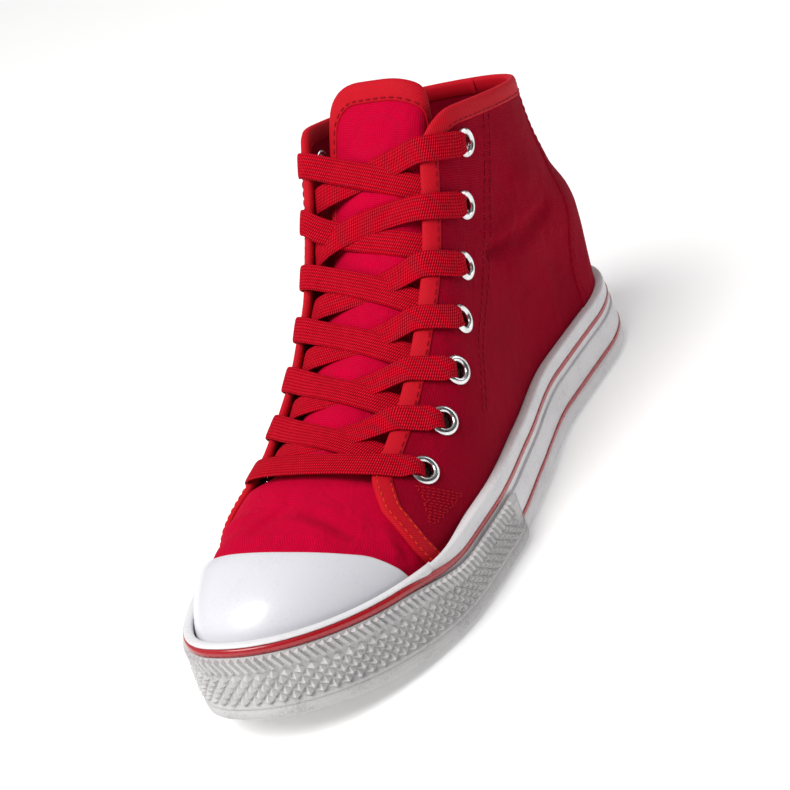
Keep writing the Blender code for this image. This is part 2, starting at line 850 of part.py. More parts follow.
def cap_reach(u, side):
    """How far the toe cap runs down a slice: to a lap below the foxing's top edge."""
    distance, points = fan_slice(round(float(u), 6))
    keep = distance >= 0 if side > 0 else distance <= 0
    away = abs(distance[keep])
    height = points[keep][:, 2] - (FOXING_TOP - CAP_LAP + spring(points[keep][:, 0]))
    order = np.argsort(-away)
    return float(np.interp(0.0, height[order], away[order]))


CAP_ROWS = 13
CAP_COLUMNS = 20


def make_toe_cap(collection):
    """The rubber toe cap: a shell over the vamp; its rear edge runs from the ridge to each side."""
    tip = next(u for u in np.linspace(0, 0.175, 400) if cap_reach(u, 1) > 0.05)
    edge = columns(CAP_EDGE, 1)
    grid = []
    for i in range(CAP_ROWS + 1):
        along = (i / CAP_ROWS) ** 2
        row = []
        for share in np.linspace(-1, 1, CAP_COLUMNS + 1):
            side = 1 if share > 0 else -1
            u = tip + (float(edge(share)) - tip) * along
            row.append(on_last(u, share * cap_reach(u, side)))
        grid.append(row)
    shape = bmesh.new()
    add_patch(shape, grid)
    mesh = finish_mesh(shape, "toe_cap")
    face_away(mesh, HEART + Vector((0.12, 0.0, 0.0)))
    cap = add_object("toe_cap", mesh, "rubber_white", collection)
    solidify(cap, CAP_THICK, 1 + 2 * CAP_GAP / CAP_THICK)


def make_eyelets(collection):
    """Fourteen flat eyelets, each a turned ring standing on the flap."""
    middle = (EYELET_RADIUS + EYELET_HOLE) / 2
    profile = [
        (EYELET_RADIUS, GAP),
        (EYELET_HOLE, GAP),
        (EYELET_HOLE, GAP + EYELET_HEIGHT * 0.6),
        (middle, GAP + EYELET_HEIGHT),
        (EYELET_RADIUS, GAP + EYELET_HEIGHT * 0.4),
    ]
    mesh = turned_profile("eyelet", profile)
    for row in range(1, ROW_COUNT + 1):
        for side, label in ((1, "lateral"), (-1, "medial")):
            u = row_u(row)
            s = side * eyelet_line(u)
            eyelet = add_object(f"eyelet_{label}_{row}", mesh, "eyelet", collection)
            turn(eyelet, EYELET_STEPS)
            stand = Vector(outward(u, s)).to_track_quat("Z", "Y").to_matrix().to_4x4()
            eyelet.matrix_world = Matrix.Translation(Vector(on_last(u, s)) * MM) @ stand


LACE_ON_FLAP = 1.3
LACE_IN_THROAT = -1.65
LACE_STOP = EYELET_RADIUS + 1.1
STRAND_STEPS = 12
STRAND_OVER = 0.2
LATERAL_OVER = (2,)


def ribbon(name, route, collection):
    """A flat strand along a route of (u, s, rise), its width square to the way it runs."""
    centres = [skin(*place) for place in route]
    left = []
    for i, (u, s, _) in enumerate(route):
        ahead = centres[min(i + 1, len(route) - 1)] - centres[max(i - 1, 0)]
        across = np.cross(outward(u, s), ahead)
        left.append(across / np.linalg.norm(across) * LACE_WIDTH / 2)
    shape = bmesh.new()
    add_patch(shape, [[centre - side, centre + side] for centre, side in zip(centres, left)])
    mesh = finish_mesh(shape, name)
    face_away(mesh, HEART)
    strand = add_object(name, mesh, "lace", collection)
    solidify(strand, LACE_THICK, 0)
    return strand


def strand_route(row, side):
    """From beside an eyelet, over its flap's edge and across the tongue, to the other flap's edge,
    on its way to the next row. One strand of a crossing lies a little over the other."""
    over = STRAND_OVER if (side > 0) == (row in LATERAL_OVER) else -STRAND_OVER
    high, low = row_u(row), row_u(row + 1)
    start = eyelet_line(high) - LACE_STOP
    edge = flap_line(high) - 1.5
    end = -(flap_line(low) - 1.8)
    route = []
    for share in np.linspace(0, 1, STRAND_STEPS + 1):
        s = start + (end - start) * share
        across = float(smooth((edge - s) / (edge - end)))
        rise = LACE_ON_FLAP + (LACE_IN_THROAT - LACE_ON_FLAP) * across
        rise += over * 4 * across * (1 - across)
        route.append((high + LACE_DROP * (low - high) * across, side * s, rise))
    return route


def make_laces(collection):
    """The lowest lace as a straight bar, and a joined crossing between each two rows."""
    start = eyelet_line(ROW_LOW_U) - LACE_STOP
    bar = [(ROW_LOW_U, start * share, LACE_ON_FLAP) for share in np.linspace(-1, 1, STRAND_STEPS + 1)]
    ribbon("lace_bar", bar, collection)
    for row in range(1, ROW_COUNT):
        strands = []
        for side in (1, -1):
            strands.append(ribbon(f"strand_{row}_{side}", strand_route(row, side), collection))
        bpy.context.view_layer.update()
        joined(f"lace_cross_{row}", [baked(strand) for strand in strands], "lace", collection)


def medial_wall(x, z, rise):
    """A point over (+) or under (-) the medial wall, by its place in side view."""
    step = 0.5
    here = plan_centre(x) - half_width(-1, x, z)
    by_x = (plan_centre(x + step) - half_width(-1, x + step, z) - here) / step
    by_z = (plan_centre(x) - half_width(-1, x, z + step) - here) / step
    direction = np.array([float(by_x), -1.0, float(by_z)])
    return np.array([x, float(here), z]) + rise * direction / np.linalg.norm(direction)


def zip_x(z):
    """The station of the zip's middle line at a height."""
    return float(zip_line(z))


CHAIN_FRONT = -(WALL + CHAIN_BEHIND_WALL)
TAPE_FRONT = CHAIN_FRONT - ZIP_CHAIN_THICK - GAP
ANKLE = Vector((0.014, 0.0, 0.08))


def make_zip_cloth(collection):
    """The zip's tape behind the slot, parted above the slider, and the closed row of teeth on it."""
    shape = bmesh.new()
    heights = np.linspace(ZIP_LOW_Z, ZIP_TOP_Z, ZIP_TAPE_ROWS + 1)
    for side in (-1, 1):
        grid = []
        for z in heights:
            parted = ZIP_PARTED * float(smooth((z - ZIP_CHAIN_TOP_Z) / ZIP_PARTING_LENGTH))
            away = (parted, ZIP_TAPE_HALF / 2, ZIP_TAPE_HALF)
            grid.append([medial_wall(zip_x(z) + side * a, z, TAPE_FRONT) for a in away])
        add_patch(shape, grid, side < 0)
    mesh = finish_mesh(shape, "zip_tape")
    face_away(mesh, ANKLE)
    solidify(add_object("zip_tape", mesh, "zip_tape", collection), ZIP_TAPE_THICK, -1)
    shape = bmesh.new()
    grid = []
    for z in np.linspace(ZIP_CHAIN_LOW_Z, ZIP_CHAIN_TOP_Z, ZIP_TAPE_ROWS - 1):
        edges = (zip_x(z) - ZIP_CHAIN_HALF, zip_x(z) + ZIP_CHAIN_HALF)
        grid.append([medial_wall(x, z, CHAIN_FRONT) for x in edges])
    add_patch(shape, grid)
    mesh = finish_mesh(shape, "zip_chain")
    face_away(mesh, ANKLE)
    solidify(add_object("zip_chain", mesh, "zip_metal", collection), ZIP_CHAIN_THICK, -1)


def box(name, low, high, collection):
    """A box between two corners, in millimetres."""
    shape = bmesh.new()
    bmesh.ops.create_cube(shape, size=1.0)
    centre = (Vector(low) + Vector(high)) / 2
    size = Vector(high) - Vector(low)
    for corner in shape.verts:
        corner.co = Vector(centre[i] + corner.co[i] * size[i] for i in range(3)) * MM
    mesh = bpy.data.meshes.new(name)
    shape.to_mesh(mesh)
    shape.free()
    return add_object(name, mesh, "zip_metal", collection)


SLIDER_PLATE = 1.0
BACK_PLATE = 0.8
POST_HALF = 0.8
POST_LENGTH = 1.2
POST_INSET = 0.2
SLIDER_GAP = 0.4
BRIDGE_HALF = 1.2
BRIDGE_THICK = 1.0
BRIDGE_LEG = 1.2
BRIDGE_INSET = 1.0


def make_slider(collection):
    """The zip's slider: two plates round the tape, joined by a post, with a bridge for the pull."""
    wall_y = float(medial_wall(SLIDER_X, SLIDER_Z, 0.0)[1])
    low_z = SLIDER_Z - SLIDER_LENGTH / 2
    high_z = SLIDER_Z + SLIDER_LENGTH / 2
    front = CHAIN_FRONT + SLIDER_GAP
    back = TAPE_FRONT - ZIP_TAPE_THICK - SLIDER_GAP
    inside_front = front + SLIDER_PLATE / 2
    bridge_low = low_z + BRIDGE_INSET
    bridge_high = high_z - BRIDGE_INSET
    arch = PIVOT_RISE + PULL_WIRE / 2 + SLIDER_GAP
    arch_top = arch + BRIDGE_THICK
    post_high = high_z - POST_INSET

    def part(label, half, rise_low, rise_high, z_low, z_high):
        low = (SLIDER_X - half, wall_y - rise_high, z_low)
        high = (SLIDER_X + half, wall_y - rise_low, z_high)
        return box(label, low, high, collection)

    pieces = [
        part("front_plate", SLIDER_HALF, front, front + SLIDER_PLATE, low_z, high_z),
        part("back_plate", SLIDER_HALF, back - BACK_PLATE, back, low_z, high_z),
        part("post", POST_HALF, back - BACK_PLATE / 2, inside_front, post_high - POST_LENGTH, post_high),
        part("bridge_low", BRIDGE_HALF, inside_front, arch_top, bridge_low, bridge_low + BRIDGE_LEG),
        part("bridge_high", BRIDGE_HALF, inside_front, arch_top, bridge_high - BRIDGE_LEG, bridge_high),
        part("bridge_top", BRIDGE_HALF, arch, arch_top, bridge_low, bridge_high),
    ]
    joined("zip_slider", pieces, "zip_metal", collection)
    return wall_y - PIVOT_RISE, bridge_low + BRIDGE_LEG + PULL_WIRE / 2 + LINK_CLEAR


def rounded_loop(x, z_low, z_high, half_low, half_high, steps=16):
    """A closed outline like a stadium whose two ends may differ in width."""
    points = []
    for i in range(steps):
        angle = 2 * math.pi * (i + 0.5) / steps
        upper = math.sin(angle) > 0
        half = half_high if upper else half_low
        centre = z_high - half_high if upper else z_low + half_low
        points.append((x + half * math.cos(angle), centre + half * math.sin(angle)))
    return points


def make_pull(pivot_y, pivot_z, collection):
    """The zip's pull: an open link on the slider's bridge, and a tab rolled round the link's end."""
    wire = PULL_WIRE
    top = pivot_z + wire / 2
    low = top - LINK_LENGTH - wire
    outer = rounded_loop(SLIDER_X, low, top, LINK_HALF, LINK_HALF)
    hole_half = LINK_HALF - LINK_WIRE
    inner = rounded_loop(SLIDER_X, low + wire, top - wire, hole_half, hole_half)
    link = flat_plate("zip_link", [outer, inner], pivot_y, LINK_WIRE, "zip_metal", collection)
    link_pivot_z = low + wire / 2
    tab_low = link_pivot_z - TAB_LENGTH
    plate_outer = rounded_loop(SLIDER_X, tab_low, link_pivot_z - KNUCKLE_BORE, TAB_HALF, TAB_NECK_HALF)
    hole_low = tab_low + TAB_HOLE_RISE
    hole = rounded_loop(SLIDER_X, hole_low, hole_low + TAB_HOLE_LENGTH, TAB_HOLE_HALF, TAB_HOLE_HALF / 2)
    plate = flat_plate("tab_plate", [plate_outer, hole], pivot_y, TAB_THICK, "zip_metal", collection)
    profile = [
        (KNUCKLE_OUT, -KNUCKLE_HALF),
        (KNUCKLE_BORE, -KNUCKLE_HALF),
        (KNUCKLE_BORE, KNUCKLE_HALF),
        (KNUCKLE_OUT, KNUCKLE_HALF),
    ]
    knuckle = add_object("tab_knuckle", turned_profile("tab_knuckle", profile), "zip_metal", collection)
    turn(knuckle, KNUCKLE_STEPS)
    place = Matrix.Translation(Vector((SLIDER_X, pivot_y, link_pivot_z)) * MM)
    knuckle.matrix_world = place @ Matrix.Rotation(math.pi / 2, 4, "Y")
    bpy.context.view_layer.update()
    tab = joined("zip_tab", [plate, knuckle], "zip_metal", collection)
    set_origin(link, Vector((SLIDER_X, pivot_y, pivot_z)) * MM)
    set_origin(tab, Vector((SLIDER_X, pivot_y, link_pivot_z)) * MM)
    bpy.context.view_layer.update()
    tab.parent = link
    tab.matrix_parent_inverse = link.matrix_world.inverted()


def set_origin(made, place):
    """Moves an object's origin to its hinge axis and leaves its shape where it is."""
    made.data.transform(Matrix.Translation(-place))
    made.location = place


def main():
    for old in list(bpy.data.objects):
        bpy.data.objects.remove(old)
    shoe = bpy.data.collections.new("high_top_sneaker")
    tools = bpy.data.collections.new("cutters")
    bpy.context.scene.collection.children.link(shoe)
    bpy.context.scene.collection.children.link(tools)
    make_sole(shoe)
    make_upper(shoe, tools)
    make_tongue(shoe)
    make_toe_cap(shoe)
    make_eyelets(shoe)
    make_laces(shoe)
    make_zip_cloth(shoe)
    pivot_y, pivot_z = make_slider(shoe)
    make_pull(pivot_y, pivot_z, shoe)


main()
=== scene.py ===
# %% [markdown]
# # A left high-top canvas sneaker with a zip on its inner side
# The imported CAD model is loaded first and never moved. Everything that is seen is made here on
# top of it: cloth, tape, thread, rubber, laces and zip. Sizes are in millimetres until a mesh is
# made. The shoe stands with its toe to +X, its outer side to +Y and its sole on Z = 0.

# %% Load the CAD frame
import math
import bmesh
import bpy
import numpy as np
from mathutils import Matrix, Vector


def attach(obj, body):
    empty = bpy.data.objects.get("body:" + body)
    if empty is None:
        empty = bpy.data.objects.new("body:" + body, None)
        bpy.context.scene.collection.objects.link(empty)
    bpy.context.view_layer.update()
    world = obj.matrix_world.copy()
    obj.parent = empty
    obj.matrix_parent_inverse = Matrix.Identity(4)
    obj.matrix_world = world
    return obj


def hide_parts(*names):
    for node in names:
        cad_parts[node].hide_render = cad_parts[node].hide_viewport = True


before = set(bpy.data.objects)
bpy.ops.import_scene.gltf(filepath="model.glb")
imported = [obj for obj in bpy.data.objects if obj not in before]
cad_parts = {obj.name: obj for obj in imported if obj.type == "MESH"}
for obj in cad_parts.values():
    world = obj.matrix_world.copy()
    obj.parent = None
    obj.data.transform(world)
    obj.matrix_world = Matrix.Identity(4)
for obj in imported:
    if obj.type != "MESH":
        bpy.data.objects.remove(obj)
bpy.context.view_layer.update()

# %% [markdown]
# ## The last
# A shoe is built round a last, a block in the shape of a foot. Its surface could be sculpted by
# hand, but every seam has to lie on it, so it is kept as a rule instead: straight fan lines run
# from the ridge over the instep to the feather line at the sole. A place is then (u, s), with u
# from 0 at the toe tip to 1 at the collar, and s the distance from the ridge, + on the outer side.

# %% The last's tables
MM = 0.001
LAST_REAR = -29.5
LAST_TIP = 221.0
TOE_SPRING = 10.0
SPRING_START = 150.0
COLLAR_FRONT = 62.5
COLLAR_BACK_Z = 107.5
BASE_EASE = 0.28
WAIST_START, WAIST_LENGTH, WAIST_HOLLOW = 58.0, 52.0, 1.2
BOARD_Z, FEATHER_Z, HEEL_LIFT = 11.0, 20.0, 2.0
TOE_DROP_START, TOE_DROP_POWER = 180.0, 2.2
NOSE_START, NOSE_POWER = 155.0, 2.3
HEEL_TURN_START, HEEL_POWER = 8.0, 2.15
TENDON_TURN, TENDON_LOW, TENDON_SPAN = 20.0, 54.0, 22.0
PLAN = (
    (-30.0, 27.5, 27.8, 0.0), (0.0, 27.5, 27.8, 0.0), (45.0, 28.0, 26.3, 0.0),
    (90.0, 36.0, 26.8, 0.0), (130.0, 42.1, 31.8, 0.0), (160.0, 42.8, 33.4, 0.0),
    (185.0, 40.8, 29.4, 0.3), (222.0, 35.2, 21.8, 2.6),
)
RIDGE = (
    (20.0, 215.0), (40.0, 166.0), (55.0, 137.6), (66.5, 118.9), (77.1, 103.2), (88.4, 88.7),
    (101.5, 76.9), (117.4, 67.0), (134.7, 59.0), (150.2, 54.0), (165.0, 50.2), (185.8, 46.6),
    (205.0, 44.2), (222.0, 42.4),
)
BACK = (
    (10.0, -29.5), (28.0, -29.6), (48.0, -33.2), (61.0, -31.8), (75.0, -25.0), (92.0, -19.6),
    (112.0, -17.2), (160.0, -16.6),
)
SHAFT = (
    (20.0, 28.0, 28.0), (60.0, 30.2, 28.4), (90.0, 29.2, 29.0), (125.0, 30.4, 30.2),
    (160.0, 31.0, 31.0),
)
SQUARENESS = (
    (-30.0, 6.0), (60.0, 6.0), (100.0, 5.0), (115.0, 3.5), (130.0, 2.7), (150.0, 2.3),
    (185.0, 2.3), (222.0, 2.4),
)


def smooth(value):
    """0 to 1 with flat ends."""
    t = np.clip(value, 0.0, 1.0)
    return t * t * (3.0 - 2.0 * t)


def quarter_round(t, power):
    """1 to 0 along a quarter of a circle, or a boxier curve where the power is over 2."""
    return (1 - t**power) ** (1 / power)


def curve_through(table, column):
    """A smooth curve through one column of a table, straight past its ends."""
    x = np.array([row[0] for row in table], float)
    y = np.array([row[column] for row in table], float)
    step = np.diff(x)
    slope = np.diff(y) / step
    tangent = np.zeros(len(x))
    tangent[0] = slope[0]
    tangent[-1] = slope[-1]
    for i in range(1, len(x) - 1):
        if slope[i - 1] * slope[i] > 0:
            before = 2 * step[i] + step[i - 1]
            after = step[i] + 2 * step[i - 1]
            tangent[i] = (before + after) / (before / slope[i - 1] + after / slope[i])

    def value_at(place):
        at = np.asarray(place, float)
        i = np.clip(np.searchsorted(x, at) - 1, 0, len(step) - 1)
        t = np.clip((at - x[i]) / step[i], 0.0, 1.0)
        inside = (
            y[i] * (1 + 2 * t) * (1 - t) ** 2
            + tangent[i] * step[i] * t * (1 - t) ** 2
            + y[i + 1] * t * t * (3 - 2 * t)
            + tangent[i + 1] * step[i] * t * t * (t - 1)
        )
        past = np.where(at > x[-1], (at - x[-1]) * tangent[-1], 0.0)
        short = np.where(at < x[0], (at - x[0]) * tangent[0], 0.0)
        return inside + past + short

    return value_at


plan_half = {1: curve_through(PLAN, 1), -1: curve_through(PLAN, 2)}
plan_centre = curve_through(PLAN, 3)
ridge_height = curve_through(RIDGE, 1)
back_x = curve_through(BACK, 1)
shaft_half = {1: curve_through(SHAFT, 1), -1: curve_through(SHAFT, 2)}
squareness = curve_through(SQUARENESS, 1)
print("foot of the last:", LAST_TIP - LAST_REAR, "mm long")


# %% The last's rules
def spring(x):
    """How far the toe spring lifts the sole at a station."""
    t = np.clip((x - SPRING_START) / (LAST_TIP - SPRING_START), 0.0, None)
    return TOE_SPRING * t * t


def ground(x):
    """The sole's underside: flat under heel and ball, hollowed at the waist."""
    t = np.clip((x - WAIST_START) / WAIST_LENGTH, 0.0, 1.0)
    return spring(x) + WAIST_HOLLOW * np.sin(math.pi * t) ** 2


def board(x):
    """The top of the outsole, where the insole lies."""
    return BOARD_Z - HEEL_LIFT * smooth((x - 20.0) / 120.0) + spring(x)


def feather(x):
    """The height at which the last is widest, just above the sole."""
    return FEATHER_Z - HEEL_LIFT * smooth((x - 20.0) / 120.0) + spring(x)


def ridge(x):
    """The last's top line, rounded down to the feather line at the toe."""
    t = np.clip((x - TOE_DROP_START) / (LAST_TIP - TOE_DROP_START), 0.0, 1.0)
    drop = quarter_round(t, TOE_DROP_POWER)
    low = feather(x)
    return low + (ridge_height(x) + 0.8 * spring(x) - low) * drop


def half_width(side, x, z):
    """Half the last's width at a place in side view: foot below, shaft above."""
    t = np.clip((x - NOSE_START) / (LAST_TIP - NOSE_START), 0.0, 1.0)
    nose = quarter_round(t, NOSE_POWER)
    shaft = smooth((z - 35.0) / 45.0) * smooth((125.0 - x) / 70.0)
    width = plan_half[side](x) * nose * (1 - shaft) + shaft_half[side](z) * shaft
    low = feather(x)
    up = np.clip((z - low) / np.maximum(ridge(x) - low, 1e-6), 0.0, 1.0)
    over = quarter_round(up, squareness(x))
    start = HEEL_TURN_START + max(side, 0) * TENDON_TURN * smooth((z - TENDON_LOW) / TENDON_SPAN)
    back = np.clip((start - x) / (start - back_x(z)), 0.0, 1.0)
    return width * over * quarter_round(back, HEEL_POWER)


def lengths(path):
    """Distance along a path of points, from its first."""
    steps = np.linalg.norm(np.diff(path, axis=0), axis=1)
    return np.concatenate([[0.0], np.cumsum(steps)])


PATH_POINTS = 600
ridge_x = LAST_TIP - (LAST_TIP - COLLAR_FRONT + 14.0) * (
    1 - np.cos(np.linspace(0, math.pi / 2, PATH_POINTS))
)
RIDGE_PATH = np.column_stack([ridge_x, ridge(ridge_x)])
RIDGE_RUN = lengths(RIDGE_PATH)
RIDGE_LENGTH = float(np.interp(-COLLAR_FRONT, -ridge_x, RIDGE_RUN))
feather_x = np.linspace(LAST_TIP, LAST_REAR, PATH_POINTS)
heel_z = np.linspace(float(feather(LAST_REAR)), 160.0, PATH_POINTS)[1:]
BASE_PATH = np.concatenate(
    [np.column_stack([feather_x, feather(feather_x)]), np.column_stack([back_x(heel_z), heel_z])]
)
BASE_RUN = lengths(BASE_PATH)
FEATHER_LENGTH = float(BASE_RUN[PATH_POINTS - 1])
BACK_LENGTH = float(np.interp(COLLAR_BACK_Z, heel_z, BASE_RUN[PATH_POINTS:])) - FEATHER_LENGTH
BASE_LENGTH = FEATHER_LENGTH + BACK_LENGTH


def base_share(u):
    """The share of the base's length at u; fan lines lean back more towards the toe."""
    return (1 - BASE_EASE + BASE_EASE * u) * u


print("ridge", round(RIDGE_LENGTH, 1), "mm, base", round(BASE_LENGTH, 1), "mm")

# %% The last as a fine grid that every piece reads
U_STEPS = 760
U_TOP = 1.12
ACROSS_STEPS = 240
SLICE_POINTS = 220
grid_u = np.linspace(0.0, U_TOP, U_STEPS)
HEEL_U = float(np.interp(FEATHER_LENGTH / BASE_LENGTH, base_share(grid_u), grid_u))


def side_grid(side):
    """All slices of one side, cut into even steps, and how long each slice is."""
    top = [np.interp(grid_u * RIDGE_LENGTH, RIDGE_RUN, RIDGE_PATH[:, i]) for i in (0, 1)]
    low = [np.interp(base_share(grid_u) * BASE_LENGTH, BASE_RUN, BASE_PATH[:, i]) for i in (0, 1)]
    share = np.sin(np.linspace(0, 1, SLICE_POINTS) * math.pi / 2) ** 2
    x = top[0][:, None] + (low[0] - top[0])[:, None] * share
    z = top[1][:, None] + (low[1] - top[1])[:, None] * share
    y = plan_centre(x) + side * half_width(side, x, z)
    y[:, 0] = plan_centre(top[0])
    heel = base_share(grid_u) * BASE_LENGTH > FEATHER_LENGTH - 0.01
    y[heel, -1] = plan_centre(low[0][heel])
    points = np.stack([x, y, z], axis=-1)
    even = np.linspace(0, 1, ACROSS_STEPS)
    grid = np.empty((U_STEPS, ACROSS_STEPS, 3))
    full = np.empty(U_STEPS)
    for k in range(U_STEPS):
        run = lengths(points[k])
        full[k] = run[-1]
        for axis in range(3):
            grid[k, :, axis] = np.interp(even * run[-1], run, points[k, :, axis])
    return grid, full


LATERAL, MEDIAL = 1, -1
GRID, FULL = (np.stack(both) for both in zip(side_grid(LATERAL), side_grid(MEDIAL)))


def reach(u, side):
    """How far the surface runs from the ridge to the base on one side."""
    return np.interp(u, grid_u, FULL[0 if side > 0 else 1])


def on_last(u, s):
    """Points of the last's surface at (u, s)."""
    u, s = np.broadcast_arrays(np.asarray(u, float), np.asarray(s, float))
    half = (s < 0).astype(int)
    at = np.clip(u, 0.0, U_TOP) / U_TOP * (U_STEPS - 1)
    i = np.minimum(at.astype(int), U_STEPS - 2)
    t = at - i
    full = FULL[half, i] * (1 - t) + FULL[half, i + 1] * t
    over = np.clip(abs(s) / np.maximum(full, 1e-9), 0.0, 1.0) * (ACROSS_STEPS - 1)
    j = np.minimum(over.astype(int), ACROSS_STEPS - 2)
    f = over - j
    t = t[..., None]
    f = f[..., None]
    low = GRID[half, i, j] * (1 - f) + GRID[half, i, j + 1] * f
    high = GRID[half, i + 1, j] * (1 - f) + GRID[half, i + 1, j + 1] * f
    return low * (1 - t) + high * t


def slopes(u, s):
    """How the surface runs for a step of u and for a millimetre of s."""
    u, s = np.broadcast_arrays(np.asarray(u, float), np.asarray(s, float))
    by_u = (on_last(u + 0.004, s) - on_last(u - 0.004, s)) / 0.008
    high = np.minimum(s + 1.0, reach(u, LATERAL))
    low = np.maximum(s - 1.0, -reach(u, MEDIAL))
    by_s = (on_last(u, high) - on_last(u, low)) / np.maximum(high - low, 1e-6)[..., None]
    return by_u, by_s


def unit(vectors):
    """Vectors made 1 long."""
    return vectors / np.maximum(np.linalg.norm(vectors, axis=-1, keepdims=True), 1e-12)


def outward(u, s):
    """The surface's outward direction at (u, s)."""
    by_u, by_s = slopes(u, s)
    return unit(np.cross(by_s, by_u))


def skin(u, s, rise=0.0):
    """Points over (+) or under (-) the last's surface."""
    return on_last(u, s) + outward(u, s) * np.asarray(rise, float)[..., None]


def place_at(x, z, side):
    """The (u, s) of places given in side view, by Newton's steps from the nearest grid point."""
    x = np.atleast_1d(np.asarray(x, float))
    z = np.atleast_1d(np.asarray(z, float))
    half = 0 if side > 0 else 1
    coarse = GRID[half, ::8, ::6]
    near = (coarse[None, :, :, 0] - x[:, None, None]) ** 2
    near = near + (coarse[None, :, :, 2] - z[:, None, None]) ** 2
    pick = near.reshape(len(x), -1).argmin(axis=1)
    u = grid_u[::8][pick // coarse.shape[1]]
    share = np.linspace(0, 1, ACROSS_STEPS)[::6][pick % coarse.shape[1]]
    for _ in range(12):
        here = on_last(u, side * share * reach(u, side))
        by_u = on_last(u + 0.002, side * share * reach(u + 0.002, side)) - here
        by_f = on_last(u, side * (share - 0.004) * reach(u, side)) - here
        a, b = by_u[:, 0] / 0.002, by_f[:, 0] / -0.004
        c, d = by_u[:, 2] / 0.002, by_f[:, 2] / -0.004
        det = a * d - b * c
        det = np.where(abs(det) < 1e-6, 1e-6, det)
        off_x, off_z = x - here[:, 0], z - here[:, 2]
        u = np.clip(u + (off_x * d - off_z * b) / det, 0.0, U_TOP)
        share = np.clip(share + (off_z * a - off_x * c) / det, 0.004, 1.0)
    return np.column_stack([u, side * share * reach(u, side)])


print("heel corner at u =", round(HEEL_U, 4), "grid", GRID.shape)

# %% [markdown]
# ## Where things lie on the last
# The lacing flaps, the eyelets, the zip's slot and the creases all have their own line on the
# last. They could be drawn as curves in space, but as tables of (u, s) they stay on the cloth.

# %% Throat, rows and edges
ROW_COUNT = 7
ROW_TOP_U = 0.945
ROW_LOW_U = 0.377
FLAP_CORNER = 13.0
LATERAL_FRONT = (
    (0.362, 25.6), (0.335, 28.4), (0.288, 34.6), (0.255, 43.0), (0.232, 50.5), (0.218, 58.5),
    (0.206, 70.0),
)
MEDIAL_FRONT = (
    (0.362, 25.6), (0.335, 27.3), (0.300, 30.5), (0.264, 34.7), (0.2325, 40.5), (0.209, 47.0),
    (0.192, 56.0),
)
ZIP_SLOT = (
    (130.0, 5.0, 29.0), (119.0, 5.6, 21.0), (112.0, 6.0, 17.4), (92.0, 7.0, 14.6),
    (72.0, 8.8, 14.2), (60.0, 12.0, 16.0), (53.0, 15.6, 16.9),
)
ZIP_LINE = (
    (48.0, 17.0), (53.0, 16.2), (59.0, 14.6), (68.0, 11.8), (78.0, 10.5), (90.0, 10.4),
    (120.0, 10.4),
)
slot_rear = curve_through(ZIP_SLOT[::-1], 1)
slot_front = curve_through(ZIP_SLOT[::-1], 2)
zip_x = curve_through(ZIP_LINE, 1)


def row_u(row):
    """Where a lacing row lies; row 1 is at the collar and row 7 at the toe."""
    return ROW_TOP_U + (ROW_LOW_U - ROW_TOP_U) * (row - 1) / (ROW_COUNT - 1)


def up_the_rows(u, low, top):
    """A value that runs evenly from the lowest lacing row to the highest."""
    return low + (top - low) * (u - ROW_LOW_U) / (ROW_TOP_U - ROW_LOW_U)


def flap_line(u):
    """The lacing flaps' edge, without its corner at the collar."""
    return up_the_rows(u, 26.0, 22.3)


def flap_edge(u):
    """The lacing flaps' edge, with its rounded corner."""
    past = np.clip(FLAP_CORNER - (1.0 - u) * RIDGE_LENGTH, 0.0, FLAP_CORNER)
    return flap_line(u) + FLAP_CORNER - np.sqrt(FLAP_CORNER**2 - past**2)


def eyelet_line(u):
    """The distance from the ridge to the middle of the eyelets."""
    return flap_line(u) + up_the_rows(u, 14.6, 18.8)


CROSS_AT = {1: 0.50, 2: 0.30, 3: 0.60, 4: 0.60, 5: 0.58, 6: 0.60}
STRAND_DROP = 0.62


def throat_edges(high, low):
    """Where a strand leaves its own flap, and where it dips under the far one."""
    return flap_line(high) - 1.0, -(flap_line(low) - 1.8)


def strand_u(row, side, s):
    """A strand's u over its way s: it drops mostly in the throat, and a little under the far flap."""
    high, low = row_u(row), row_u(row + 1)
    edge, far = throat_edges(high, low)
    share = np.clip((edge - s) / (edge - far), 0.0, 1.0)
    meet = CROSS_AT[row] if side < 0 else 1 - CROSS_AT[row]
    bent = share ** (math.log(0.5) / math.log(meet))
    tucked = smooth((far - s) / (far + eyelet_line(low)))
    return high + (low - high) * (STRAND_DROP * bent + (1 - STRAND_DROP) * tucked)


def softened(values, window):
    """A row of numbers with its corners rounded over a window of steps."""
    kernel = np.hanning(window)[1:-1]
    ends = len(kernel) // 2
    padded = np.concatenate([[values[0]] * ends, values, [values[-1]] * ends])
    return np.convolve(padded, kernel / kernel.sum(), mode="valid")


EYELETS = [(row, side) for row in range(1, ROW_COUNT + 1) for side in (LATERAL, MEDIAL)]
EYELET_PLACES = np.array([(row_u(row), side * eyelet_line(row_u(row))) for row, side in EYELETS])
EYELET_POINTS = on_last(EYELET_PLACES[:, 0], EYELET_PLACES[:, 1])
print("eyelets:", len(EYELETS), "row 1 at", EYELET_POINTS[0].round(1))
